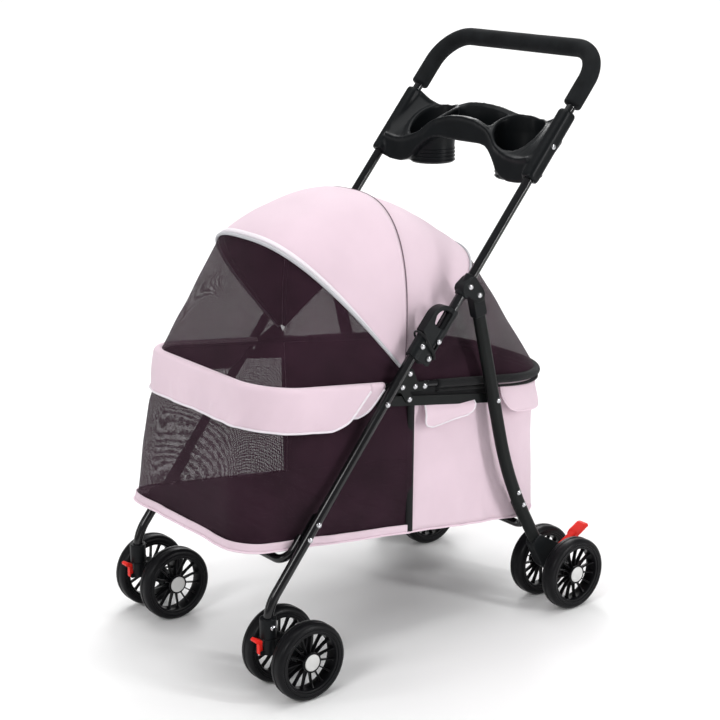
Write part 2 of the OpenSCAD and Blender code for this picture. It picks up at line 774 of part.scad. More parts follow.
module wheel_housings() {
  axle = [rear_axle_y, wheel_r];
  sleeve_low = rear_foot - 34 * rear_low_dir;
  color(black) both_sides() difference() {
    union() {
      across(track_half - 11, track_half + 11) hull() {
        translate(sleeve_low) circle(r = 14, $fn = hull_fn);
        translate(rear_foot + 6 * rear_low_dir) circle(r = 15, $fn = hull_fn);
        translate(axle) circle(r = 14, $fn = hull_fn);
        translate(brake_pivot) circle(r = 9, $fn = hull_fn);
      }
      bar_x(track_half - axle_boss_half, track_half + axle_boss_half, axle, axle_boss_r);
    }
    rear_leg_path(rear_leg_w + 2 * hole_gap, rear_leg_t + 2 * hole_gap);
    bar_x(100, 280, axle, axle_r + hole_gap);
    translate([track_half - 5.6, brake_pivot.x - 10, wheel_r + 18]) cube([11.2, 60, 60]);
    bar_x(150, 230, brake_pivot, pivot_r + hole_gap);
  }
}

module rear_axles() {
  color(silver) both_sides() {
    bar_x(track_half - axle_half, track_half + axle_half, [rear_axle_y, wheel_r], axle_r);
    bar_x(track_half - 11, track_half + 11, brake_pivot, pivot_r);
  }
}

module rear_rivets() {
  outer = track_half + rear_leg_t / 2;
  spacer_x = rail_x + rail_t + 0.5;
  color(silver) both_sides() {
    rivet(outer, track_half - rear_leg_t / 2, rail_rear_pivot);
    bar_x(spacer_x, track_half - rear_leg_t / 2, rail_rear_pivot, 6);
    for (p = rear_cross_rivets) rivet(outer, cross_end_x, p);
  }
}

module brake_pedal(side) {
  reach = brake_tip - brake_pivot;
  ahead = reach / norm(reach);
  aside = [-ahead.y, ahead.x];
  arm_end = brake_pivot + 44 * ahead;
  color(red) on_side(side) difference() {
    union() {
      bar_x(track_half - 5.4, track_half + 5.4, brake_pivot, 7);
      across(track_half - 5.4, track_half + 5.4)
        polygon([brake_pivot + 6 * aside, brake_pivot - 5 * aside,
                 arm_end - 4 * aside, arm_end + 5 * aside]);
      across(track_half - 10, track_half + 10)
        polygon([arm_end - 8 * ahead - 4 * aside, arm_end - 8 * ahead + 3 * aside,
                 arm_end + 5.5 * aside, brake_tip + 5 * aside - 6 * ahead,
                 brake_tip + 1 * aside, brake_tip - 4 * aside - 2 * ahead]);
    }
    bar_x(150, 230, brake_pivot, pivot_r + run_gap);
  }
}

// ---- front casters ----

module caster_fork(side) {
  axle = [front_axle_y, wheel_r];
  color(black) on_side(side) difference() {
    union() {
      translate([track_half, leg_foot_y, fork_low_z])
        cylinder(r = fork_hub_r, h = fork_top_z - fork_low_z);
      across(track_half - 10, track_half + 10) hull() {
        translate([leg_foot_y + 2, fork_low_z + 11]) circle(r = 10, $fn = hull_fn);
        translate([leg_foot_y + 24, fork_low_z + 13]) circle(r = 12, $fn = hull_fn);
        translate(axle) circle(r = 13, $fn = hull_fn);
      }
      bar_x(track_half - axle_boss_half, track_half + axle_boss_half, axle, axle_boss_r);
      for (x = [4.4, -6.9]) across(track_half + x, track_half + x + 2.5) {
        translate(lock_pivot) circle(r = 4.2);
        translate(lock_pivot - [0, 4.2]) square([9, 8.4]);
      }
    }
    translate([track_half, leg_foot_y, fork_low_z - 1])
      cylinder(r = swivel_pin_r + run_gap, h = 40);
    bar_x(100, 280, axle, axle_r + hole_gap);
    translate([track_half - 4.4, lock_pivot.x - 10, fork_low_z - 2]) cube([8.8, 15, 34]);
  }
}

module front_axle(side) {
  color(silver) on_side(side) {
    bar_x(track_half - axle_half, track_half + axle_half, [front_axle_y, wheel_r], axle_r);
  }
}

module swivel_lock(side) {
  color(red) on_side(side) {
    across(track_half - 4, track_half + 4) {
      translate(lock_pivot) circle(r = 4);
      polygon([lock_pivot + [-4, 0], lock_pivot + [3, 0], lock_pivot + [1.5, 21],
               lock_pivot + [-4.5, 23]]);
    }
    across(track_half - 8, track_half + 8)
      polygon([lock_pivot + [-1, 16], lock_pivot + [0, 21], lock_pivot + [-9, 26],
               lock_pivot + [-13, 24], lock_pivot + [-12, 20]]);
  }
}

// ---- wheels ----

// Places a wheel's own frame: z along the axle, outwards
module at_wheel(side, y, twin) {
  on_side(side) translate([track_half + twin * twin_spacing / 2, y, wheel_r])
    rotate([0, 90, 0]) children();
}

module tyre(side, y, twin) {
  color(black) at_wheel(side, y, twin) rotate_extrude() {
    shoulder = tyre_w / 2 - tyre_round;
    translate([rim_outer_r, -tyre_w / 2]) square([wheel_r - tyre_round - rim_outer_r, tyre_w]);
    translate([rim_outer_r, -shoulder]) square([wheel_r - rim_outer_r, 2 * shoulder]);
    intersection() {
      for (s = [-1, 1]) translate([wheel_r - tyre_round, s * shoulder]) circle(r = tyre_round);
      translate([rim_outer_r, -tyre_w]) square([tyre_w, 2 * tyre_w]);
    }
  }
}

module wheel_rim(side, y, twin) {
  color(black) at_wheel(side, y, twin) difference() {
    union() {
      rotate_extrude() {
        translate([rim_inner_r, -rim_w / 2]) square([rim_outer_r - rim_inner_r, rim_w]);
        translate([0, -rim_w / 2 + 1]) square([hub_r, rim_w - 1]);
      }
      for (i = [0:spoke_count - 1]) rotate([0, 0, 360 * i / spoke_count])
        translate([hub_r - 1, -spoke_t / 2, -6]) cube([rim_inner_r - hub_r + 2, spoke_t, 12]);
    }
    translate([0, 0, -40]) cylinder(r = axle_r + run_gap, h = 80);
  }
}

front_leg(1);  // front_leg_left
front_leg(-1);  // front_leg_right
front_cross_tube();
fold_joint(1);  // fold_joint_left
fold_joint(-1);  // fold_joint_right
caster_sockets();
swivel_pins();
safety_rings();
front_rivets();
handle_tube();
foam_grip();
cup_tray();
leg_brackets();
handle_rivets();
fold_latch(1);  // fold_latch_left
fold_latch(-1);  // fold_latch_right
side_rail(1);  // side_rail_left
side_rail(-1);  // side_rail_right
rivet_plates();
rim_tube();
rail_rivets();
cabin_body();
floor_mat();
rear_canopy();
rear_mesh();
middle_bow();
front_bow();
front_canopy();
front_mesh();
rear_leg(1);  // rear_leg_left
rear_leg(-1);  // rear_leg_right
leg_caps();
rear_cross_tube();
wheel_housings();
rear_axles();
rear_rivets();
brake_pedal(1);  // brake_pedal_left
brake_pedal(-1);  // brake_pedal_right
caster_fork(1);  // caster_fork_left
caster_fork(-1);  // caster_fork_right
front_axle(1);  // front_axle_left
front_axle(-1);  // front_axle_right
swivel_lock(1);  // swivel_lock_left
swivel_lock(-1);  // swivel_lock_right
for (a = AXLES, s = SIDES, t = TWINS) {
  place = str(a[0], "_", s[0], "_", t[0]);
  tyre(s[1], a[1], t[1]);
  wheel_rim(s[1], a[1], t[1]);
}
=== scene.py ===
"""The looks of a folding pet stroller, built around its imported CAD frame. Metres, +Z up, front at -Y."""
import math

import bmesh
import bpy
from mathutils import Matrix, Vector, noise


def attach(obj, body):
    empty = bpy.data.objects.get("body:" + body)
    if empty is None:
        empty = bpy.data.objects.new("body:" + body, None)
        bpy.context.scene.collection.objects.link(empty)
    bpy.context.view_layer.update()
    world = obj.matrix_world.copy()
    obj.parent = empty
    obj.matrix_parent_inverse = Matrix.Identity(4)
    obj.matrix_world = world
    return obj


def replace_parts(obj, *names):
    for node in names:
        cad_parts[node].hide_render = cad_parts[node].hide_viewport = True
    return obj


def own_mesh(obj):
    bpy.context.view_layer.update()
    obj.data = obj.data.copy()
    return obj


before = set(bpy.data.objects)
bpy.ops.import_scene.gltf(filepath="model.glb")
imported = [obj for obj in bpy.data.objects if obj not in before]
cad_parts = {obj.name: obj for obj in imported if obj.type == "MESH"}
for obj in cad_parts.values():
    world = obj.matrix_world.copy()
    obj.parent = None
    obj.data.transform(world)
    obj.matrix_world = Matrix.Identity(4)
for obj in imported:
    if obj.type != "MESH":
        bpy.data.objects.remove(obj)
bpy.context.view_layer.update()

MM = 0.001
SIDES = (("left", 1), ("right", -1))
CHAMFERED = ((-1, -0.6), (-0.6, -1), (0.6, -1), (1, -0.6), (1, 0.6), (0.6, 1), (-0.6, 1), (-1, 0.6))

# Places and sizes that the CAD source fixes
TRACK_HALF = 0.195
WHEEL_R = 0.0635
FRONT_AXLE_Y, REAR_AXLE_Y = -0.300, 0.271
TWIN_HALF = 0.040
FOLD_PIVOT = Vector((0, -0.036, 0.497))
HANDLE_LEAN = math.radians(39.6)
BOW_PIVOT = Vector((0, -0.0568, 0.4715))
RIM_Z = 0.451
RIM_SLOPE = math.radians(7)
RIM_HALF_W = 0.1775
RIM_FRONT, RIM_REAR = 0.279, 0.371
RIM_FRONT_R, RIM_REAR_R = 0.075, 0.150
CABIN_DEPTH = 0.252
FLARE = 0.014
BOW_X = 0.168
BOW_ROUND = 0.72
BOW_RADIUS = ((-8, 0.262), (5, 0.268), (50, 0.286), (70, 0.276), (91, 0.271), (104, 0.262),
              (117, 0.257), (130, 0.259), (144, 0.272), (176, 0.325), (190, 0.368))
FRONT_BOW, MIDDLE_BOW, REAR_HEM = 49, 91, 143
SEAM_BOW = 95.0  # rear edge of the front panel, which laps over the rear one
FRONT_LIFT = 0.0022  # height of the front panel over the hoops

CABIN_GAP = 0.004    # the cabin hangs this far under the rim's plane

# Thicknesses of the cloth
PANEL_T, TAPE_T, WEBBING_T, BAND_T, FLAP_T, FLOOR_T = 0.0014, 0.0008, 0.0016, 0.0018, 0.002, 0.002

RIM_NORMAL = Vector((0, math.sin(RIM_SLOPE), math.cos(RIM_SLOPE)))


# ---- node helpers ----

class Shader:
    """A principled material and short ways to add nodes to it."""

    def __init__(self, name, color, roughness, **sockets):
        self.mat = bpy.data.materials.new(name)
        self.mat.use_nodes = True
        self.nodes = self.mat.node_tree.nodes
        self.links = self.mat.node_tree.links
        self.bsdf = self.nodes["Principled BSDF"]
        self.color = color
        self.set("Base Color", (*color, 1))
        self.set("Roughness", roughness)
        for socket, value in sockets.items():
            self.set(socket.replace("_", " "), value)

    def set(self, socket, value):
        self.bsdf.inputs[socket].default_value = value

    def add(self, kind, **values):
        node = self.nodes.new("ShaderNode" + kind)
        for key, value in values.items():
            setattr(node, key, value)
        return node

    def math(self, operation, a, b=None):
        node = self.add("Math", operation=operation)
        for socket, value in zip(node.inputs, (a, b)):
            if value is None:
                continue
            if isinstance(value, (int, float)):
                socket.default_value = value
            else:
                self.links.new(value, socket)
        return node.outputs[0]

    def coords(self, kind):
        return self.add("TexCoord").outputs[kind]

    def noise(self, scale, detail=3, kind="Object"):
        node = self.add("TexNoise")
        node.inputs["Scale"].default_value = scale
        node.inputs["Detail"].default_value = detail
        self.links.new(self.coords(kind), node.inputs["Vector"])
        return node.outputs["Fac"]

    def mottle(self, amount, scale):
        """Varies the base colour a little, lighter and darker."""
        ramp = self.add("ValToRGB")
        ramp.color_ramp.elements[0].position = 0.3
        ramp.color_ramp.elements[1].position = 0.7
        for element, sign in zip(ramp.color_ramp.elements, (-1, 1)):
            element.color = (*(c * (1 + sign * amount) for c in self.color), 1)
        self.links.new(self.noise(scale), ramp.inputs["Fac"])
        self.links.new(ramp.outputs["Color"], self.bsdf.inputs["Base Color"])

    def rough(self, low, high, scale):
        """Varies the roughness between low and high."""
        span = self.add("MapRange")
        span.inputs["To Min"].default_value = low
        span.inputs["To Max"].default_value = high
        self.links.new(self.noise(scale), span.inputs["Value"])
        self.links.new(span.outputs["Result"], self.bsdf.inputs["Roughness"])

    def waves(self, pitch, stray=0.0):
        """Sines across and along the cloth, from a UV map in metres; threads wander by about stray."""
        split = self.add("SeparateXYZ")
        self.links.new(self.coords("UV"), split.inputs[0])
        turn = 2 * math.pi / pitch
        out = []
        for i, scale in ((0, 130), (1, 170)):
            run = split.outputs[i]
            if stray:
                run = self.math("ADD", run, self.math("MULTIPLY", self.noise(scale, 1, "UV"), stray))
            out.append(self.math("SINE", self.math("MULTIPLY", run, turn)))
        return out

    def bump(self, height, distance, strength=1.0):
        node = self.add("Bump")
        node.inputs["Strength"].default_value = strength
        node.inputs["Distance"].default_value = distance
        self.links.new(height, node.inputs["Height"])
        before = self.bsdf.inputs["Normal"]
        if before.is_linked:
            self.links.new(before.links[0].from_socket, node.inputs["Normal"])
        self.links.new(node.outputs["Normal"], before)


def woven(name, color, pitch, roughness=0.85, sheen=0.3, mottle=0.04):
    """Plain-weave cloth with threads pitch apart."""
    s = Shader(name, color, roughness, Sheen_Weight=sheen, Sheen_Roughness=0.5, Specular_IOR_Level=0.15)
    s.mottle(mottle, 9)
    across, along = s.waves(pitch)
    s.bump(s.math("MULTIPLY", across, along), pitch * 0.25, 0.5)
    s.bump(s.noise(60, 4), 0.0006, 0.35)
    return s.mat


def netting(name, color, pitch, cover):
    """Open mesh cloth: rounded holes in a diagonal lattice, the rest covered by thread."""
    s = Shader(name, color, 0.75, Sheen_Weight=0.03, Specular_IOR_Level=0.1)
    s.mottle(0.25, 12)
    across, along = s.waves(pitch, 0.0011)
    lattice = s.math("MULTIPLY", across, along)
    edge = s.add("MapRange")
    edge.inputs["From Min"].default_value = cover
    edge.inputs["From Max"].default_value = cover + 0.2
    edge.inputs["To Min"].default_value = 1
    edge.inputs["To Max"].default_value = 0.12
    s.links.new(lattice, edge.inputs["Value"])
    s.links.new(edge.outputs["Result"], s.bsdf.inputs["Alpha"])
    s.bump(lattice, pitch * 0.2, 0.4)
    return s.mat


def plastic(name, color, low, high, grain=900, depth=0.00004):
    """Moulded plastic with a fine grain and uneven gloss."""
    s = Shader(name, color, low, Specular_IOR_Level=0.11)
    s.mottle(0.15, 20)
    s.rough(low, high, 40)
    s.bump(s.noise(grain, 2), depth, 0.6)
    return s.mat


def paint(name, color):
    """Gloss powder coat with a faint orange peel."""
    s = Shader(name, color, 0.22, Specular_IOR_Level=0.36)
    s.mottle(0.2, 15)
    s.rough(0.10, 0.17, 60)
    s.bump(s.noise(420, 2), 0.00003, 0.4)
    return s.mat


def metal(name, color, low, high):
    """Bare metal with fine scratches."""
    s = Shader(name, color, low, Metallic=1.0)
    s.mottle(0.06, 120)
    s.rough(low, high, 200)
    s.bump(s.noise(1500, 2), 0.00002, 0.4)
    return s.mat


def foam(name, color):
    """Closed-cell foam with open pores at its skin."""
    s = Shader(name, color, 0.8, Specular_IOR_Level=0.15)
    s.mottle(0.3, 40)
    s.bump(s.noise(700, 5), 0.0004, 0.7)
    s.bump(s.noise(90, 2), 0.0005, 0.3)
    return s.mat


PINK = (0.775, 0.61, 0.69)
BLACK = (0.006, 0.006, 0.007)
AUBERGINE = (0.022, 0.006, 0.014)

M = {
    "pink": woven("pink_oxford", PINK, 0.0011),
    # The piping is the same pink cloth as the panels; its lighter pink is a painted highlight along the
    # round cord.
    "pink_edge_highlight": woven("pink_piping_painted_highlight", (0.86, 0.68, 0.77), 0.0009, 0.6, 0.2, 0.02),
    "lining": woven("dark_lining", AUBERGINE, 0.0012, 0.9, 0.04),
    "net": netting("black_net", (0.030, 0.012, 0.021), 0.0016, 0.24),
    "floor_cloth": woven("floor_cloth", AUBERGINE, 0.0014, 0.9, 0.04),
    "webbing": woven("black_webbing", (0.008, 0.008, 0.009), 0.0018, 0.8, 0.08),
    # A dark pink for the thin cord at the panels' seam: painted shade where the front panel laps over the
    # rear one.
    "seam": woven("seam_painted_shade", (0.20, 0.14, 0.17), 0.0009, 0.8, 0.1),
    "grey_edge": woven("grey_piping", (0.52, 0.52, 0.55), 0.0009, 0.45, 0.2, 0.03),
    "white_edge": woven("white_piping", (0.86, 0.80, 0.85), 0.0009, 0.5, 0.2, 0.02),
    "tube": paint("black_gloss_paint", BLACK),
    "leg": plastic("black_satin_leg", (0.007, 0.008, 0.008), 0.32, 0.42, 600),
    "shell": plastic("black_shell_plastic", (0.008, 0.009, 0.010), 0.28, 0.42),
    "tray": plastic("black_tray_plastic", (0.006, 0.007, 0.008), 0.30, 0.36),
    "spokes": plastic("black_wheel_plastic", (0.006, 0.006, 0.007), 0.24, 0.36),
    "tyre": plastic("black_tyre", (0.007, 0.007, 0.008), 0.26, 0.4, 500, 0.00008),
    "red": plastic("red_plastic", (0.72, 0.025, 0.018), 0.25, 0.38),
    "cap": plastic("pale_cap_plastic", (0.62, 0.62, 0.61), 0.3, 0.42),
    "steel": metal("rivet_steel", (0.50, 0.50, 0.52), 0.16, 0.28),
    "foam": foam("grip_foam", (0.007, 0.008, 0.009)),
    "cord": woven("elastic_cord", (0.008, 0.008, 0.009), 0.0016, 0.7, 0.08),
}


# ---- mesh helpers ----


def rim_point(x, y, z=0.0):
    """A point given in the rim's own frame: y to the rear along the rim, z off its plane."""
    c, s = math.cos(RIM_SLOPE), math.sin(RIM_SLOPE)
    return Vector((x, BOW_PIVOT.y + y * c + z * s, RIM_Z - y * s + z * c))


def handle_point(x, y, u):
    """A point in the handle's frame: u up the handle tubes from the fold pivot, y to the rear."""
    c, s = math.cos(HANDLE_LEAN), math.sin(HANDLE_LEAN)
    return Vector((x, FOLD_PIVOT.y + y * c + u * s, FOLD_PIVOT.z - y * s + u * c))


def smooth(t):
    """Eases from 0 to 1."""
    t = min(1.0, max(0.0, t))
    return t * t * (3 - 2 * t)


def mix(a, b, t):
    return a + (b - a) * t


def shares(n, start=0.0, end=1.0):
    """n + 1 even steps from start to end."""
    return [mix(start, end, i / n) for i in range(n + 1)]


def lookup(x, table):
    """Value at x on straight lines through the table's points."""
    for (x0, y0), (x1, y1) in zip(table, table[1:]):
        if x <= x1:
            return mix(y0, y1, max(0.0, (x - x0) / (x1 - x0)))
    return table[-1][1]


def distances(points):
    """How far along a polyline each of its points lies."""
    run = [0.0]
    for a, b in zip(points, points[1:]):
        run.append(run[-1] + (b - a).length)
    return run


def resample(points, n):
    """n + 1 points evenly spaced along a polyline."""
    run = distances(points)
    out, k = [], 0
    for f in shares(n):
        d = f * run[-1]
        while k < len(points) - 2 and run[k + 1] < d:
            k += 1
        step = run[k + 1] - run[k]
        out.append(points[k].lerp(points[k + 1], (d - run[k]) / step if step else 0))
    return out


def quads(rings, n, looped=False):
    """Faces between rings of n points each; looped joins the last ring to the first."""
    return [(i * n + j, i * n + (j + 1) % n, (i + 1) % rings * n + (j + 1) % n, (i + 1) % rings * n + j)
            for i in range(rings if looped else rings - 1) for j in range(n)]


def add_mesh(name, verts, faces, mat, uvs=None):
    mesh = bpy.data.meshes.new(name)
    mesh.from_pydata([tuple(v) for v in verts], [], faces)
    if uvs:
        layer = mesh.uv_layers.new(name="UVMap")
        for loop in mesh.loops:
            layer.data[loop.index].uv = uvs[loop.vertex_index]
    mesh.polygons.foreach_set("use_smooth", [True] * len(mesh.polygons))
    mesh.materials.append(mat)
    mesh.update()
    obj = bpy.data.objects.new(name, mesh)
    bpy.context.scene.collection.objects.link(obj)
    return obj


def grid(name, rows, mat, turned=False):
    """A sheet through rows of points, with a UV map in metres; turned shows its other side outwards."""
    if turned:
        rows = [row[::-1] for row in rows]
    n = len(rows[0])
    u = distances(rows[len(rows) // 2])
    v = distances([row[n // 2] for row in rows])
    verts = [p for row in rows for p in row]
    uvs = [(u[j], v[i]) for i in range(len(rows)) for j in range(n)]
    faces = [(i * n + j, i * n + j + 1, (i + 1) * n + j + 1, (i + 1) * n + j)
             for i in range(len(rows) - 1) for j in range(n - 1)]
    obj = add_mesh(name, verts, faces, mat, uvs)
    max(distances(row)[-1] for row in rows)
    max(distances(line)[-1] for line in zip(*rows))
    return obj


def cloth(obj):
    """Passes a sheet through unchanged."""
    return obj


def tube(name, points, radius, mat, sides=10, closed=False, flat=1.0):
    """A round cord along points; flat under 1 squeezes it across its second axis."""
    n = len(points)
    verts, uvs, length = [], [], 0.0
    side = None
    for i, p in enumerate(points):
        after = points[(i + 1) % n] if closed else points[min(i + 1, n - 1)]
        before = points[i - 1] if closed else points[max(i - 1, 0)]
        ahead = (after - before).normalized()
        if side is None:
            side = ahead.cross(Vector((0, 0, 1)) if abs(ahead.z) < 0.9 else Vector((1, 0, 0)))
        side = (side - ahead * side.dot(ahead)).normalized()
        up = ahead.cross(side)
        for j in range(sides):
            a = 2 * math.pi * j / sides
            verts.append(p + side * math.cos(a) * radius + up * math.sin(a) * radius * flat)
            uvs.append((radius * a, length))
        length += (after - p).length
    faces = quads(n, sides, closed)
    if not closed:
        faces.append(tuple(reversed(range(sides))))
        faces.append(tuple(range((n - 1) * sides, n * sides)))
    return add_mesh(name, verts, faces, mat, uvs)


def thicken(obj, thickness, offset=-1.0, inner=None):
    """Gives a sheet its thickness; inner is the material of its inner side."""
    solid = obj.modifiers.new("thickness", "SOLIDIFY")
    solid.thickness = thickness
    solid.offset = offset
    if inner:
        obj.data.materials.append(inner)
        solid.material_offset = 1
    return obj


def baked(obj):
    """Applies the modifiers."""
    shape = obj.evaluated_get(bpy.context.evaluated_depsgraph_get())
    mesh = bpy.data.meshes.new_from_object(shape)
    obj.modifiers.clear()
    obj.data = mesh
    return obj


def moulded(obj, voxel, rounds=0):
    """Modifiers that rebuild a mesh as one skin and ease it, which rounds its edges like a moulding's."""
    remesh = obj.modifiers.new("remesh", "REMESH")
    remesh.mode = "VOXEL"
    remesh.voxel_size = voxel
    remesh.use_smooth_shade = True
    if rounds:
        ease = obj.modifiers.new("ease", "SMOOTH")
        ease.factor = 0.5
        ease.iterations = rounds
    return obj


def resurface(obj, mat):
    """Smooth shading and one material for a rebuilt mesh."""
    obj.data.materials.clear()
    obj.data.materials.append(mat)
    obj.data.polygons.foreach_set("use_smooth", [True] * len(obj.data.polygons))


def soft(obj, body):
    """A cloth piece: rides on a body, with a mesh of its own."""
    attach(obj, body)
    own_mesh(obj)
    return obj


def hard(obj, body):
    """A piece that keeps its shape as it rides on a body."""
    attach(obj, body)
    return obj


def wrinkle(x, y, seed):
    """Repeatable noise from -1 to 1."""
    return noise.noise(Vector((x, y, seed * 7.31)))


def piping(name, line, radius, mat):
    """A sewn cord along a line of the cabin's cloth."""
    return soft(tube(f"{name}_piping", line, radius, mat, 8), "basket")


# ---- cabin ----

def round_end(f, w, reach, r, start=0.0):
    """Point at share f of a U: from (w, start) round its end at reach to (-w, start)."""
    side = reach - r - start
    arc = r * math.pi / 2
    total = 2 * side + 2 * arc + 2 * (w - r)
    d = f * total
    mirrored = d > total / 2
    if mirrored:
        d = total - d
    if d < side:
        x, y = w, start + d
    elif d < side + arc:
        a = (d - side) / r
        x, y = w - r + r * math.cos(a), reach - r + r * math.sin(a)
    else:
        x, y = w - r - (d - side - arc), reach
    return (-x if mirrored else x), y


def seam_y(d):
    """Where the side seam runs in the rim's frame, at share d of the cabin's depth."""
    return 0.011 + 0.030 * d


CABIN_TOP = {-1: (0.1740, RIM_FRONT, RIM_FRONT_R), 1: (0.1740, RIM_REAR, RIM_REAR_R)}
CABIN_LOW = {-1: (0.1705, RIM_FRONT + FLARE, 0.048), 1: (0.1705, RIM_REAR + FLARE, 0.120)}

HEM_DEPTH = 0.945  # share of the cabin's depth where the front hem begins
# The webbing's section: [place across it, bulge outwards]
WEBBING = ((-0.0062, -0.0008), (-0.0052, 0.0004), (0.0, 0.0010), (0.0052, 0.0004), (0.0062, -0.0008))


def wall_height(d):
    """Height off the rim's plane at share d of the cabin's depth."""
    return -CABIN_GAP - d * (CABIN_DEPTH - CABIN_GAP)


def wall_point(end, f, d, push=0.0, lap=0.0):
    """Point on the cabin's wall. end is -1 for the front U and 1 for the rear one, d runs down it."""
    w, reach, r = (mix(a, b, d) for a, b in zip(CABIN_TOP[end], CABIN_LOW[end]))
    x, y = round_end(f, w + push, reach + push, r + push, end * seam_y(d) - lap)
    return rim_point(x, end * y, wall_height(d))


def wall(name, end, mat, d0, d1, push, rows, cols, lap, sag):
    """A strip of the cabin's wall between the depths d0 and d1."""
    points = []
    for d in shares(rows, d0, d1):
        points.append([wall_point(end, f, d, push + sag(f, d), lap) for f in shares(cols)])
    return grid(name, points, mat, turned=end > 0)


def net_sag(f, d):
    """The net is drawn in between its hems and ripples a little."""
    bulge = 0.0075 * smooth((d - 0.14) / 0.2) * (1 - smooth((d - 0.55) / 0.45))
    slack = math.sin(math.pi * d)
    return bulge - 0.002 * slack + 0.0012 * wrinkle(f * 9 + d, d * 4, 1) * slack


def panel_sag(f, d):
    """The cloth panels hang in soft upright folds that grow towards the hem."""
    folds = wrinkle(f * 13, d * 1.3, 2) + 0.5 * wrinkle(f * 31, d * 2.2, 3)
    return 0.0035 * folds * smooth(d * 1.4) - 0.003 * math.sin(math.pi * d)


def hem_sag(f, _):
    """The hem follows the panels' folds with small ripples of its own."""
    return 0.0025 + panel_sag(f, 1.0) * 0.6 + 0.0015 * wrinkle(f * 24, 1, 4)


def build_cabin():
    """Net front, cloth rear, hems, piping and the webbing over the side seams."""
    net = wall("cabin_net", -1, M["net"], 0.0, HEM_DEPTH + 0.01, 0.0, 24, 150, 0.002, net_sag)
    soft(net, "basket")
    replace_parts(net, "cabin_body")
    cloth(net)
    rear = wall("cabin_rear_panel", 1, M["pink"], 0.0, 1.0, 0.0005, 26, 170, 0.002, panel_sag)
    thicken(rear, PANEL_T, -1, M["lining"])
    soft(rear, "basket")
    cloth(rear)
    hem = wall("cabin_front_hem", -1, M["pink"], HEM_DEPTH, 1.0, 0.0, 4, 170, 0.0, hem_sag)
    soft(thicken(hem, WEBBING_T), "basket")
    cloth(hem)
    for end, name in ((-1, "front"), (1, "rear")):
        sag = hem_sag if end < 0 else panel_sag
        line = [wall_point(end, f, 1.0, sag(f, 1.0) + 0.0006) for f in shares(170)]
        piping(f"cabin_{name}_hem", line, 0.0017, M["pink_edge_highlight"])
    for name, s in SIDES:
        strip = []
        for d in shares(30, 0.10, 1.005):
            x, y, z = mix(0.1755, 0.1722, d), seam_y(d), wall_height(d)
            row = [rim_point(s * (x + bulge), y + dy, z) for dy, bulge in WEBBING]
            strip.append(row if s > 0 else row[::-1])
        piece = thicken(grid(f"seam_webbing_{name}", strip, M["webbing"]), WEBBING_T)
        soft(piece, "basket")
        cloth(piece)


def outline(k, z, reach_in=0.0):
    """The cabin's floor outline scaled by k about the middle of the rim frame."""
    points = []
    for end in (-1, 1):
        w, reach, r = CABIN_LOW[end]
        half = [round_end(f, w - reach_in, reach - reach_in, r - reach_in) for f in shares(60)]
        half = [(x, end * y) for x, y in half]
        points += half[:-1] if end < 0 else [(x, y) for x, y in reversed(half)][:-1]
    middle = (RIM_REAR - RIM_FRONT) / 2
    return [rim_point(x * k, middle + (y - middle) * k, z) for x, y in points]


def fan(name, rings, mat, closed=False):
    """A plate through rings of points that shrink towards a middle; closed adds a face under its rim."""
    n = len(rings[0])
    verts = [p for ring in rings for p in ring]
    faces = quads(len(rings), n)
    faces.append(tuple((len(rings) - 1) * n + j for j in range(n)))
    if closed:
        faces.append(tuple(reversed(range(n))))
    obj = add_mesh(name, verts, faces, mat, [(p.x, p.y) for p in verts])
    return obj


def build_floor():
    """The cloth floor and its quilted pad."""
    z = 0.0015 - CABIN_DEPTH
    plate = fan("cabin_floor", [outline(k, z, 0.002) for k in (1.0, 0.85, 0.6, 0.3)], M["floor_cloth"])
    soft(thicken(plate, FLOOR_T, 1), "basket")
    cloth(plate)

    thick = 0.014
    low = 0.004 - CABIN_DEPTH
    rings = [outline(0.90, low), outline(0.955, low + 0.002), outline(0.965, low + thick * 0.5),
             outline(0.955, low + thick * 0.85), outline(0.90, low + thick)]
    rings += [outline(k, low + thick) for k in (0.75, 0.55, 0.35, 0.15)]
    pad = fan("floor_mat_pad", rings, M["floor_cloth"], closed=True)
    baked(moulded(pad, 0.006))
    inflate(pad, 0.004)
    quilt(pad)
    planar_uv(pad)
    resurface(pad, M["floor_cloth"])
    soft(pad, "basket")
    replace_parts(pad, "floor_mat")


def inflate(obj, cap):
    """Puffs a closed piece with cloth pressure and keeps each point within cap of its start."""
    rest = [v.co.copy() for v in obj.data.vertices]
    steps = 20
    puff = obj.modifiers.new("cloth", "CLOTH")
    puff.settings.use_pressure = True
    puff.settings.uniform_pressure_force = 4
    puff.settings.effector_weights.gravity = 0
    puff.settings.quality = 4
    puff.point_cache.frame_start = 1
    puff.point_cache.frame_end = steps
    for step in range(1, steps + 1):
        bpy.context.scene.frame_set(step)
    baked(obj)
    bpy.context.scene.frame_set(1)
    for vertex, start in zip(obj.data.vertices, rest):
        move = vertex.co - start
        if move.length > cap:
            vertex.co = start + move * (cap / move.length)


def quilt(obj):
    """Presses sewn channels across the top of the mat."""
    pitch, half_width, deep, top = 0.060, 0.010, 0.003, 0.008
    for vertex in obj.data.vertices:
        local = vertex.co.y / pitch
        groove = abs(local - round(local)) * pitch
        if groove < half_width and vertex.co.z > floor_height(vertex.co.y) + top:
            vertex.co -= RIM_NORMAL * deep * (1 - smooth(groove / half_width))


def floor_height(y):
    """Height of the sloping cabin floor at y."""
    return RIM_Z - (y - BOW_PIVOT.y) * math.tan(RIM_SLOPE) - CABIN_DEPTH


def planar_uv(obj):
    """A UV map in metres, seen from above."""
    layer = obj.data.uv_layers.new(name="UVMap")
    for loop in obj.data.loops:
        co = obj.data.vertices[loop.vertex_index].co
        layer.data[loop.index].uv = (co.x, co.y)


# ---- band, flaps and sleeves at the rim ----

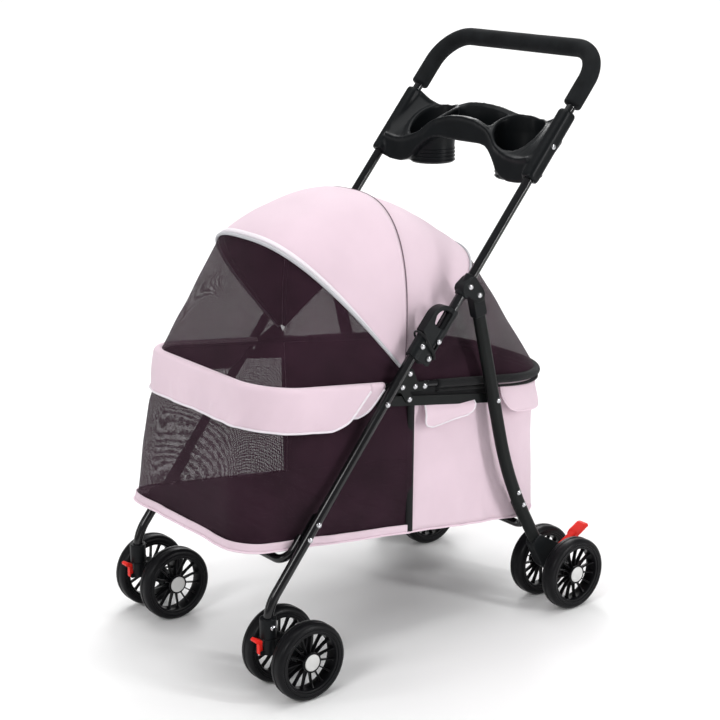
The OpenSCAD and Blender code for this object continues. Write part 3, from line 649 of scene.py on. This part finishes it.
def band_section(t, proud):
    """Outward offset and height of the band at share t: over the rim tube, then down outside it."""
    over, wrap_r = 0.22, 0.0075
    if t < over:
        a = math.pi * (0.95 - t / over * 0.95)
        return wrap_r * math.cos(a) + proud * t / over, wrap_r * math.sin(a)
    k = (t - over) / (1 - over)
    return wrap_r + proud + 0.0015 * math.sin(math.pi * k), -k


def band(name, height, proud, start_top, start_low, corner, seed):
    """One layer of the band: it wraps the front of the rim tube and hangs outside it, with rounded ends."""
    rows, edge = [], []
    cols = 150
    for t in shares(34):
        out, z = band_section(t, proud)
        if z < 0:
            k = -z
            z = -k * height
            start = mix(start_top, start_low, k) + corner * max(0.0, (k - 0.72) / 0.28) ** 2.4
        else:
            start = start_top
        loose = smooth(t * 1.3 - 0.3)
        row = []
        for f in shares(cols):
            near_end = 1 - smooth(min(f, 1 - f) * 14)
            ripple = 0.003 * wrinkle(f * 20, t * 1.8, seed) + 0.0009 * wrinkle(f * 55, t * 3, seed + 3)
            push = out + (ripple + 0.003 * near_end) * loose - (0.0025 * loose if proud < 0 else 0)
            x, y = round_end(f, RIM_HALF_W + push, RIM_FRONT + push, RIM_FRONT_R + push, start)
            drop = 0.0015 * wrinkle(f * 11, 3, seed) * loose
            row.append(rim_point(x, -y, z + drop))
        rows.append(row)
        if t > 0.25:
            edge.append(row)
    sheet = grid(name, rows, M["pink"])
    soft(thicken(sheet, BAND_T), "basket")
    line = [row[0] for row in edge] + rows[-1][1:-1] + [row[-1] for row in reversed(edge)]
    edging = piping(name, resample(line, 320), 0.0019, M["white_edge"])
    return cloth(sheet)


def flap(name, place, w, h, corner, mat, edge_mat, cols=30):
    """A sewn flap: place(u, v) gives its points, u across it and v down it, both in metres."""
    rows = []
    for k in shares(12):
        v = k * h
        cut = corner - math.sqrt(max(0.0, corner ** 2 - max(0.0, v - (h - corner)) ** 2))
        rows.append([place(mix(cut, w - cut, f), v) for f in shares(cols)])
    sheet = grid(name, rows, mat)
    soft(thicken(sheet, FLAP_T, 0), "basket")
    line = [r[0] for r in rows] + rows[-1][1:-1] + [r[-1] for r in reversed(rows)]
    edging = piping(name, resample(line, 3 * cols), 0.0016, edge_mat)
    return cloth(sheet)


def rail_backing(name, side):
    """A flat strip of webbing that closes the gap behind the side rail."""
    rows = [[rim_point(side * (0.1768 + 0.0012 * math.sin(math.pi * k)), y, mix(0.001, -0.027, k))
             for y in shares(50, -0.05, 0.200)] for k in shares(6)]
    strip = thicken(grid(name, rows, M["webbing"], side > 0), WEBBING_T)
    soft(strip, "basket")
    cloth(strip)


def side_flap(name, side):
    """The pocket flap under the side rail, propped open a little and cut higher to the rear."""
    def place(u, v):
        belly = 0.0075 * smooth(v / 0.03) + 0.001 * math.sin(u * 70)
        rise = 0.20 * u * smooth(v / 0.045)
        return rim_point(side * (0.1765 + belly * 1.3), 0.040 + u, -0.024 - v + rise)
    # Its piping is pink cloth given the pale white piping colour: a painted highlight.
    flap(name, place, 0.104, 0.050, 0.015, M["pink"], M["white_edge"])


def rear_flap():
    """The long pocket flap round the cabin's rear."""
    w, reach, r = CABIN_TOP[1]
    length = 0.600

    def place(u, v):
        push = 0.003 + 0.010 * smooth(v / 0.045)
        x, y = round_end(0.212 + 0.576 * u / length, w + push, reach + push, r + push)
        return rim_point(x, y, -0.012 - v - 0.010 * math.sin(math.pi * u / length))
    flap("rear_pocket_flap", place, length, 0.044, 0.030, M["pink"], M["pink_edge_highlight"], cols=110)


def rear_edge(name, push, z, radius, sides, flat):
    """A sewn roll of webbing round the rear half of the rim."""
    line = [round_end(f, RIM_HALF_W + push, RIM_REAR + push, RIM_REAR_R, 0.062) for f in shares(150)]
    roll = tube(name, [rim_point(x, y, z) for x, y in line], radius, M["webbing"], sides, flat=flat)
    soft(roll, "basket")


def build_rim_cloth():
    """What is sewn round the rim: band, rail strips, pocket flaps and rear binding."""
    band("front_band_inner", 0.046, -0.0005, start_top=0.050, start_low=0.088, corner=0.012, seed=11)
    band("front_band", 0.062, 0.0018, start_top=0.078, start_low=0.132, corner=0.020, seed=12)
    for name, s in SIDES:
        rail_backing(f"rail_backing_{name}", s)
    for name, s in SIDES:
        side_flap(f"side_pocket_flap_{name}", s)
    rear_flap()
    rear_edge("rear_rim_sleeve", 0.0, -0.001, 0.0078, 14, 0.9)
    rear_edge("rear_rim_binding", 0.001, -0.0125, 0.0042, 8, 0.5)


# ---- canopy ----

def bow_point(a, t, lift=0.0):
    """Point of the hoop at angle a above the front; t runs from side (0) over the top (90) to side (180)."""
    st, ct = math.sin(math.radians(t)), math.cos(math.radians(t))
    reach = (lookup(a, BOW_RADIUS) + lift) * max(st, 0) ** BOW_ROUND
    x = (BOW_X + lift) * math.copysign(abs(ct) ** BOW_ROUND, ct)
    return Vector((x, BOW_PIVOT.y - reach * math.cos(math.radians(a)),
                   BOW_PIVOT.z + reach * math.sin(math.radians(a))))


def bow_line(a, lift=0.0, n=80, start=0.4):
    """The hoop at angle a as n + 1 evenly spaced points."""
    return resample([bow_point(a, t, lift) for t in shares(400, start, 180 - start)], n)


def canopy_panel(a0, a1, lift, seed, rows=22, cols=80, sag=0.003):
    """Rows of points for the cloth between the hoops at a0 and a1, a little slack between them."""
    points = []
    for k in shares(rows):
        a = mix(a0, a1, k)
        slack = math.sin(math.pi * k)
        line = bow_line(a, 0, cols)
        out = []
        for j, p in enumerate(line):
            f = j / cols
            away = (p - BOW_PIVOT - Vector((p.x, 0, 0)) * 0.6).normalized()
            crease = 0.0024 * wrinkle(f * 5, k * 2.0, seed) + 0.0008 * wrinkle(f * 19, k * 4.0, seed + 5)
            out.append(p + away * (lift + (crease - sag * math.sin(math.pi * f)) * slack))
        points.append(out)
    return points


def net_to_rim(a, end, rows=26, cols=110, lift=0.0):
    """Net stretched from the hoop at a down to the rim's front (-1) or rear (1) half."""
    reach, r = (RIM_FRONT, RIM_FRONT_R) if end < 0 else (RIM_REAR, RIM_REAR_R)
    high = bow_line(a, lift, cols)
    low = [round_end(f, RIM_HALF_W - 0.004, reach - 0.002, r, 0.002) for f in shares(cols)]
    low = [rim_point(x, end * y, 0.005) for x, y in low]
    points = []
    for k in shares(rows):
        slack = 0.0035 * math.sin(math.pi * k)
        row = []
        for j, (p, q) in enumerate(zip(high, low)):
            sway = slack * (0.4 + wrinkle(j / cols * 9, k * 3, 21 + end))
            row.append(p.lerp(q, k) + (p - BOW_PIVOT).normalized() * sway)
        points.append(row)
    return points


def bow_cord(name, a, lift, radius, mat, sides, body):
    """A cord sewn along the hoop at angle a."""
    soft(tube(name, bow_line(a, lift, 140), radius, mat, sides), body)


def build_canopy():
    """Panels and nets between the hoops, with their piping, seam and wires."""
    rear = grid("rear_canopy_panel", canopy_panel(MIDDLE_BOW, REAR_HEM, 0.0, seed=31), M["pink"], True)
    soft(thicken(rear, PANEL_T, -1, M["lining"]), "basket")
    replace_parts(rear, "rear_canopy")
    cloth(rear)
    net = grid("rear_canopy_net", net_to_rim(REAR_HEM, 1), M["net"])
    soft(net, "basket")
    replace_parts(net, "rear_mesh")
    cloth(net)
    rows = canopy_panel(FRONT_BOW, SEAM_BOW, FRONT_LIFT, seed=32)
    front = grid("front_canopy_panel", rows, M["pink"], True)
    soft(thicken(front, PANEL_T, -1, M["lining"]), "canopy_front")
    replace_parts(front, "front_canopy")
    window = grid("front_canopy_net", net_to_rim(FRONT_BOW, -1, lift=0.001), M["net"])
    soft(window, "canopy_front")
    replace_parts(window, "front_mesh")
    cloth(window)

    bow_cord("front_canopy_piping", FRONT_BOW - 0.4, 0.003, 0.0028, M["grey_edge"], 10, "canopy_front")
    rows = [bow_line(FRONT_BOW + a, 0.0038, 140) for a in (0.2, 1.0, 1.8)]
    strip = grid("front_canopy_edge_tape", rows, M["white_edge"], True)
    soft(thicken(strip, TAPE_T), "canopy_front")
    cloth(front)
    # The seam cord's dark pink is painted shade along the lap of the front panel over the rear one; the seam
    # itself is real.
    bow_cord("middle_bow_seam", SEAM_BOW, FRONT_LIFT, 0.0008, M["seam"], 6, "canopy_front")
    bow_cord("rear_canopy_piping", REAR_HEM, 0.001, 0.0019, M["grey_edge"], 8, "basket")
    for node, a, lift, body in (("middle_bow", MIDDLE_BOW + 2.5, -0.0055, "basket"),
                                ("front_bow", FRONT_BOW + 2.0, -0.0045, "canopy_front")):
        wire = tube(node + "_wire", bow_line(a, lift, 120, 1.0), 0.0026, M["tube"], 10)
        soft(wire, body)
        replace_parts(wire, node)


# ---- wheels ----

def lathe(name, profile, centre, side, mat, n=96):
    """Turns a closed profile of (x, r) about the wheel's axle; x points outwards on that side."""
    verts = []
    for i in range(n):
        a = 2 * math.pi * i / n
        for x, r in profile:
            verts.append(centre + Vector((side * x, r * math.cos(a), r * math.sin(a))))
    return tidy_mesh(add_mesh(name, verts, quads(n, len(profile), True), mat))


def tidy_mesh(obj, angle=35):
    """Merges doubled points, turns the faces outwards and keeps only real corners sharp."""
    bm = bmesh.new()
    bm.from_mesh(obj.data)
    bmesh.ops.remove_doubles(bm, verts=bm.verts, dist=1e-6)
    bmesh.ops.dissolve_degenerate(bm, dist=1e-7, edges=bm.edges)
    bmesh.ops.recalc_face_normals(bm, faces=bm.faces)
    for edge in bm.edges:
        if len(edge.link_faces) == 2:
            edge.smooth = edge.calc_face_angle(0) < math.radians(angle)
    bm.to_mesh(obj.data)
    bm.free()
    return obj


def mm_profile(points):
    """A profile given in mm, in metres."""
    return [(x * MM, r * MM) for x, r in points]


# Profiles as [x, r] in mm, x out from the middle of the wheel
TREAD_HALF = [(12, 50), (13.6, 50.6), (14, 52), (14, 53.4), (13.1, 54), (13.1, 55.4), (13.9, 56), (13.7, 58),
              (12.9, 60), (11.4, 61.7), (9.4, 62.8), (7, 63.4), (3.4, 63.5), (2.6, 62.6)]
TYRE = mm_profile([(-12, 50)] + TREAD_HALF + [(-x, r) for x, r in reversed(TREAD_HALF[1:])])
BARREL = mm_profile([(-12, 46.6), (-9.5, 45.6), (9.5, 45.6), (12, 46.6),
                     (12.6, 48), (12.4, 50.1), (-12.4, 50.1), (-12.6, 48)])
HUB = mm_profile([(-11, 4.1), (-11, 11), (-8, 12.6), (7, 13.4), (9.4, 16.4),
                  (12.2, 16.6), (12.8, 15.9), (12.8, 14.2), (11.2, 14), (11.2, 4.1)])
CAP = mm_profile([(10.6, 0.01), (10.6, 13.6), (12.6, 13.6), (13.2, 12.9),
                  (13.6, 11), (13.8, 7), (13.9, 0.01)])
SPOKES = 15
# A spoke's sections from hub to rim, in mm: [distance from the axle, half width, depth, shift outwards]
SPOKE_SECTIONS = ((13.0, 2.1, 8.6, 0.8), (16.0, 1.25, 7.4, 0.8), (30.0, 1.0, 5.6, 1.2),
                  (42.0, 1.15, 6.0, 2.4), (46.4, 2.1, 8.4, 3.2))


def spokes(name, centre, side, mat):
    """Thin straight spokes with a flange at each end."""
    verts, faces = [], []
    n = len(CHAMFERED)
    for i in range(SPOKES):
        a = 2 * math.pi * (i + 0.5) / SPOKES
        out = Vector((0, math.cos(a), math.sin(a)))
        across = Vector((0, -math.sin(a), math.cos(a)))
        base = len(verts)
        for r, half, deep, shift in SPOKE_SECTIONS:
            for sx, sy in CHAMFERED:
                x = side * (shift + sx * deep * 0.62) * MM
                verts.append(centre + out * r * MM + across * sy * half * MM + Vector((x, 0, 0)))
        faces += [tuple(base + v for v in face) for face in quads(len(SPOKE_SECTIONS), n)]
        faces.append(tuple(range(base, base + n)))
        faces.append(tuple(reversed(range(len(verts) - n, len(verts)))))
    return tidy_mesh(add_mesh(name, verts, faces, mat))


def build_wheels():
    """Four twin wheels, each with its tyre, rim, hub, spokes and cap."""
    for axle, y in (("front", FRONT_AXLE_Y), ("rear", REAR_AXLE_Y)):
        for name, s in SIDES:
            for twin, t in (("outer", 1), ("inner", -1)):
                place = f"{axle}_{name}_{twin}"
                body = "wheel_" + place
                centre = Vector((s * (TRACK_HALF + t * TWIN_HALF), y, WHEEL_R))
                face = s * t
                tyre = lathe(f"tyre_tread_{place}", TYRE, centre, face, M["tyre"], 128)
                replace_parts(hard(tyre, body), "tyre_" + place)
                barrel = lathe(f"rim_barrel_{place}", BARREL, centre, face, M["spokes"])
                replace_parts(hard(barrel, body), "rim_" + place)
                hard(lathe(f"rim_hub_{place}", HUB, centre, face, M["spokes"]), body)
                hard(spokes(f"rim_spokes_{place}", centre, face, M["spokes"]), body)
                hard(lathe(f"hub_cap_{place}", CAP, centre, face, M["cap"]), body)


# ---- cup tray ----

CUP_X, CUP_Y = 0.112, 0.236
CUP_FLOOR, CUP_TOP = 0.747, 0.832
CUP_BORE = ((CUP_FLOOR + 0.004, 0.0335), (CUP_TOP - 0.016, 0.0415), (CUP_TOP + 0.045, 0.0435))  # [z, r]
SLEEVE_BORE_R = 0.0082


def loft(name, sections):
    """A closed solid of the tray's plastic through equal-length closed sections."""
    n = len(sections[0])
    verts = [p for section in sections for p in section]
    faces = quads(len(sections), n)
    faces.append(tuple(reversed(range(n))))
    faces.append(tuple(range((len(sections) - 1) * n, len(sections) * n)))
    return tidy_mesh(add_mesh(name, verts, faces, M["tray"]))


# The saddle's edges in mm, against the distance from the middle: [x, y, z]
TRAY_LIP = ((0, 205, 838), (32, 205, 836), (68, 202, 826), (84, 198, 815), (96, 194, 804), (112, 190, 796),
            (130, 188, 790), (150, 188, 787), (168, 187, 788), (186, 186, 792))
TRAY_SKIRT = ((0, 197, 798), (50, 197, 799), (68, 196, 797), (82, 193, 788), (96, 188, 776), (108, 184, 762),
              (122, 182, 753), (140, 181, 748), (165, 180, 749), (186, 181, 753))
TRAY_BACK = ((0, 257, 857), (40, 259, 854), (68, 264, 847), (90, 270, 841), (112, 277, 837), (140, 274, 839),
             (160, 270, 846), (174, 268, 854), (186, 266, 862))
TRAY_HALF = 0.186
# Hollows in the saddle's middle: [name, half width, steps, inset, moves in y and z of its four corners from
# the front lip, the back lip twice and the front lip]
TRAY_HOLLOWS = (
    ("pocket", 0.062, 12, 0.0065, ((0, 0.03), (0, 0.03), (-0.004, -0.034), (0.006, -0.020))),
    ("underside", 0.066, 8, 0.005, ((0.004, -0.028), (-0.002, -0.042), (-0.002, -0.080), (0, -0.060))),
)


def tray_edge(table, x):
    """The edge's (y, z) at x."""
    x = abs(x) / MM
    return [lookup(x, [(row[0], row[i]) for row in table]) * MM for i in (1, 2)]


def tray_section(x, inset=0.0):
    """Front lip, back lip, back foot and front skirt of the tray's saddle at x, as (y, z) going round."""
    edges = (tray_edge(table, x) for table in (TRAY_LIP, TRAY_SKIRT, TRAY_BACK))
    (lip_y, lip_z), (skirt_y, skirt_z), (back_y, back_z) = edges
    return [(lip_y + inset, lip_z), (back_y - inset, back_z), (back_y - inset, back_z - 0.050),
            (skirt_y + 0.024, skirt_z), (skirt_y + inset, skirt_z)]


def tray_height(x, y):
    """Height of the sloping top between the front and back lips."""
    (lip_y, lip_z), (back_y, back_z) = tray_edge(TRAY_LIP, x), tray_edge(TRAY_BACK, x)
    return mix(lip_z, back_z, (y - lip_y) / (back_y - lip_y))


def joined(name, objs):
    """One object from several, without merging their surfaces."""
    verts, faces = [], []
    for obj in objs:
        base = len(verts)
        verts += [v.co.copy() for v in obj.data.vertices]
        faces += [tuple(base + i for i in p.vertices) for p in obj.data.polygons]
        bpy.data.objects.remove(obj)
    return add_mesh(name, verts, faces, M["tray"])


def disc(x, y, z, r, n=56):
    """A level circle of n points."""
    turns = [2 * math.pi * i / n for i in range(n)]
    return [Vector((x + r * math.cos(a), y + r * math.sin(a), z)) for a in turns]


def tray_body(xs):
    """The saddle with its lips, cups and tube sleeves, still solid."""
    parts = [loft("saddle", [[Vector((x, y, z)) for y, z in tray_section(x)] for x in xs])]
    for table in (TRAY_LIP, TRAY_BACK):
        edge = [Vector((x, *tray_edge(table, x))) for x in xs]
        parts.append(tube("lip", resample(edge, 90), 0.0034, M["tray"], 10))
    for _, s in SIDES:
        x = s * CUP_X
        top = [Vector((p.x, p.y, tray_height(p.x, p.y))) for p in disc(x, CUP_Y, 0, 0.0455)]
        low = [disc(x, CUP_Y, CUP_FLOOR, 0.0385), disc(x, CUP_Y, CUP_FLOOR + 0.03, 0.0395)]
        parts.append(loft("cup", low + [top]))
        parts.append(tube("cup_lip", top, 0.0032, M["tray"], 10, closed=True))
        sleeve = [[handle_point(s * TRACK_HALF + a * w, b * w * 1.1, u) for a, b in CHAMFERED]
                  for u, w in ((0.340, 0.0118), (0.344, 0.0128), (0.470, 0.0128), (0.474, 0.0118))]
        parts.append(loft("sleeve", sleeve))
    return baked(moulded(joined("cup_tray_shell", parts), 0.0022))


def tray_cutter():
    """What is cut from the tray: cups, tube holes, middle pocket and the hollow under the saddle."""
    cuts = []
    for _, s in SIDES:
        cuts.append(loft("bore", [disc(s * CUP_X, CUP_Y, z, r) for z, r in CUP_BORE]))
        hole = [[handle_point(s * TRACK_HALF + p.x, p.y, u) for p in disc(0, 0, 0, SLEEVE_BORE_R, 24)]
                for u in (0.32, 0.50)]
        cuts.append(loft("tube_hole", hole))
    for name, half, steps, inset, moves in TRAY_HOLLOWS:
        sections = []
        for x in shares(steps, -half, half):
            front, rear = tray_section(x, inset)[:2]
            corners = zip((front, rear, rear, front), moves)
            sections.append([Vector((x, y + dy, z + dz)) for (y, z), (dy, dz) in corners])
        cuts.append(loft(name, sections))
    return joined("tray_cutter", cuts)


def build_tray():
    """The moulded cup tray and the ribs at the foot of its cups."""
    tray = tray_body(shares(62, -TRAY_HALF, TRAY_HALF))
    cutter = tray_cutter()
    cut = tray.modifiers.new("cut", "BOOLEAN")
    cut.operation = "DIFFERENCE"
    cut.object = cutter
    baked(tray)
    bpy.data.objects.remove(cutter)
    baked(moulded(tray, 0.0014, 30))
    resurface(tray, M["tray"])
    hard(tray, "handle")
    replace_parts(tray, "cup_tray")

    rib_pitch = 0.0066
    for name, s in SIDES:
        profile = [(0.0372, -0.0006)]
        for i in range(4):
            z = 0.001 + i * rib_pitch
            profile += [(0.0388, z), (0.0404, z + 0.0012), (0.0404, z + 0.0034), (0.0388, z + 0.0046)]
        profile += [(0.0372, 0.027)]
        rings = [disc(s * CUP_X, CUP_Y, CUP_FLOOR + z, r, 72) for r, z in profile]
        hard(loft(f"cup_ribs_{name}", rings), "handle")


# ---- grip and safety rings ----

GRIP_R, GRIP_BORE_R, GRIP_END_R = 0.0155, 0.00815, 0.0038
GRIP_LOW, HANDLE_LEN, HANDLE_CORNER_R = 0.486, 0.597, 0.062
CREASE_PITCH = 0.0065


def grip_line():
    """The middle of the grip in the handle's plane, as (x, 0, u)."""
    x0, u0 = TRACK_HALF - HANDLE_CORNER_R, HANDLE_LEN - HANDLE_CORNER_R
    half = [(-TRACK_HALF, GRIP_LOW)]
    for a in shares(24, 0.0, math.pi / 2):
        half.append((-x0 - HANDLE_CORNER_R * math.cos(a), u0 + HANDLE_CORNER_R * math.sin(a)))
    return resample([Vector((x, 0, u)) for x, u in half + [(-x, u) for x, u in reversed(half)]], 420)


def build_grip():
    """The foam sleeve over the handle's bend, with rounded ends and soft creases inside its corners."""
    line = grip_line()
    last, sides = len(line) - 1, 40
    step = distances(line)[-1] / last
    verts, uvs = [], []
    for inner in (False, True):
        for i in (range(last, -1, -1) if inner else range(last + 1)):
            ahead = (line[min(i + 1, last)] - line[max(i - 1, 0)]).normalized()
            out = Vector((-ahead.z, 0, ahead.x))
            near = min(1.0, min(i, last - i) * step / 0.004)
            to_next = (line[min(i + 6, last)] - line[i]).normalized()
            from_last = (line[i] - line[max(i - 6, 0)]).normalized()
            turn = min(1.0, to_next.cross(from_last).length * 4)
            for j in range(sides):
                a = 2 * math.pi * j / sides
                inside = max(0.0, -math.cos(a))
                r = GRIP_R - GRIP_END_R * (1 - math.sqrt(1 - (1 - near) ** 2))
                r += 0.00025 * wrinkle(i * step * 40, math.cos(a) * 1.5, 61)
                crease = math.sin(i * step * 2 * math.pi / CREASE_PITCH) * inside ** 3
                r = min(r, GRIP_R) - 0.0007 * turn * (1 - crease) * inside ** 2
                r = GRIP_BORE_R if inner else r
                p = line[i] + out * math.cos(a) * r
                verts.append(handle_point(p.x, math.sin(a) * r, p.z))
                uvs.append((i * step, a * GRIP_R))
    faces = quads(2 * (last + 1), sides, True)
    grip = tidy_mesh(add_mesh("foam_grip_sleeve", verts, faces, M["foam"], uvs))
    hard(grip, "handle")
    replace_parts(grip, "foam_grip")


RING_LEAN = math.radians(21)
RING_CORD_R, RING_END_R, RING_HALF = 0.0017, 0.0146, 0.014
RING_Y, RING_CENTRE_OFF = -0.0125, 0.010  # place across the shell, and off the leaning line of the split


def build_safety_rings():
    """Elastic loops that hold the latch shells shut, one round each fold joint."""
    lean_s, lean_c = math.sin(RING_LEAN), math.cos(RING_LEAN)
    middle_u = (RING_CENTRE_OFF - RING_Y * lean_s) / lean_c
    points = 160
    for name, s in SIDES:
        loop = []
        for k in range(points):
            a = 2 * math.pi * k / points
            x, y = RING_END_R * math.cos(a), RING_END_R * math.sin(a)
            y += math.copysign(RING_HALF, y)
            loop.append(handle_point(s * TRACK_HALF + x, RING_Y + y * lean_c, middle_u - y * lean_s))
        loop = resample(loop + loop[:1], 180)[:-1]
        ring = tube(f"safety_ring_{name}", loop, RING_CORD_R, M["cord"], 12, closed=True)
        hard(ring, "front_frame")
        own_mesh(ring)
        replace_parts(ring, "safety_rings")


# ---- the CAD parts' looks ----

NODE_LOOKS = (
    ("tube", ("front_leg_", "front_cross_tube", "rear_cross_tube", "handle_tube", "rim_tube")),
    ("leg", ("rear_leg_", "side_rail_", "rivet_plates")),
    ("shell", ("fold_joint_", "fold_latch_", "leg_brackets", "leg_caps", "caster_sockets", "caster_fork_",
               "wheel_housings")),
    ("tray", ("cup_tray",)),
    ("foam", ("foam_grip",)),
    ("red", ("brake_pedal_", "swivel_lock_")),
    ("cord", ("safety_rings",)),
    ("steel", ("front_rivets", "handle_rivets", "rail_rivets", "rear_rivets", "swivel_pins", "rear_axles",
               "front_axle_")),
)
# Voxel size for the plastic parts whose edges are rounded, in metres
ROUNDED = {"fold_joint_": 0.0008, "fold_latch_": 0.0008, "leg_caps": 0.0010, "caster_sockets": 0.0010,
           "caster_fork_": 0.0010, "wheel_housings": 0.0011, "brake_pedal_": 0.0010, "swivel_lock_": 0.0007,
           "leg_brackets": 0.0008}


def dress_cad():
    """Gives each CAD part its material, and the moulded ones their rounded edges."""
    for name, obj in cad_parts.items():
        for key, starts in NODE_LOOKS:
            if name.startswith(starts):
                obj.data.materials.clear()
                obj.data.materials.append(M[key])
        for start, voxel in ROUNDED.items():
            if name.startswith(start):
                moulded(obj, voxel, 4)


# ---- stage ----

# Area lights: [name, place, aim, width, height, watts]
LIGHTS = (
    ("key", (1.2, -3.0, 2.4), (0, 0, 0.4), 1.2, 1.2, 42),
    ("strip", (2.8, 1.3, 1.3), (0, 0, 0.5), 0.10, 2.4, 50),
    ("side", (-0.9, -3.2, 1.4), (0, 0, 0.5), 0.35, 2.0, 14),
    ("rim", (-2.2, 1.8, 2.2), (0, 0, 0.5), 1.2, 1.2, 30),
    ("top", (-0.6, 0.4, 4.2), (-0.6, 0.4, 0), 4.0, 4.0, 122)
)


def build_stage():
    """A bright studio: pale world, a floor that sweeps up behind, and soft area lights."""
    world = bpy.data.worlds.new("studio")
    world.use_nodes = True
    back = world.node_tree.nodes["Background"]
    back.inputs["Color"].default_value = (1, 1, 1, 1)
    back.inputs["Strength"].default_value = 0.30
    bpy.context.scene.world = world
    bpy.context.scene.view_settings.view_transform = "Standard"

    s = Shader("studio_floor", (0.93, 0.93, 0.93), 0.7)
    s.mottle(0.01, 2)
    length, flat, bend_r = 9.0, 6.0, 1.6
    rows = []
    for k in shares(40):
        rise = max(0.0, k * length - flat)
        a = min(rise / bend_r, math.pi / 2)
        y = min(k * length, flat) - 4.0 + bend_r * math.sin(a)
        z = bend_r * (1 - math.cos(a)) + max(0.0, rise - 2.5)
        rows.append([Vector((x, y, z)) for x in (-7, -3.5, 0, 3.5, 7)])
    floor = grid("studio_floor", rows, s.mat)
    turn = Matrix.Rotation(math.radians(52), 4, "Z")
    floor.data.transform(turn)

    for name, place, aim, width, height, power in LIGHTS:
        light = bpy.data.lights.new(name, "AREA")
        light.shape = "RECTANGLE"
        light.size = width
        light.size_y = height
        light.energy = power
        lamp = bpy.data.objects.new(name, light)
        lamp.location = place
        lamp.rotation_euler = (Vector(aim) - Vector(place)).to_track_quat("-Z", "Y").to_euler()
        bpy.context.scene.collection.objects.link(lamp)


def build_camera():
    """The main view, from the front left and a little above."""
    data = bpy.data.cameras.new("camera")
    data.lens = 86.5
    data.sensor_width = 36
    camera = bpy.data.objects.new("camera", data)
    eye, aim = Vector((2.228, -1.742, 1.237)), Vector((0, -0.0145, 0.446))
    look = (aim - eye).to_track_quat("-Z", "Y").to_matrix().to_4x4()
    camera.matrix_world = Matrix.Translation(eye) @ look @ Matrix.Rotation(math.radians(-0.08), 4, "Z")
    bpy.context.scene.collection.objects.link(camera)
    bpy.context.scene.camera = camera


build_stage()
build_camera()
dress_cad()
build_wheels()
build_tray()
build_cabin()
build_floor()
build_rim_cloth()
build_canopy()
build_grip()
build_safety_rings()
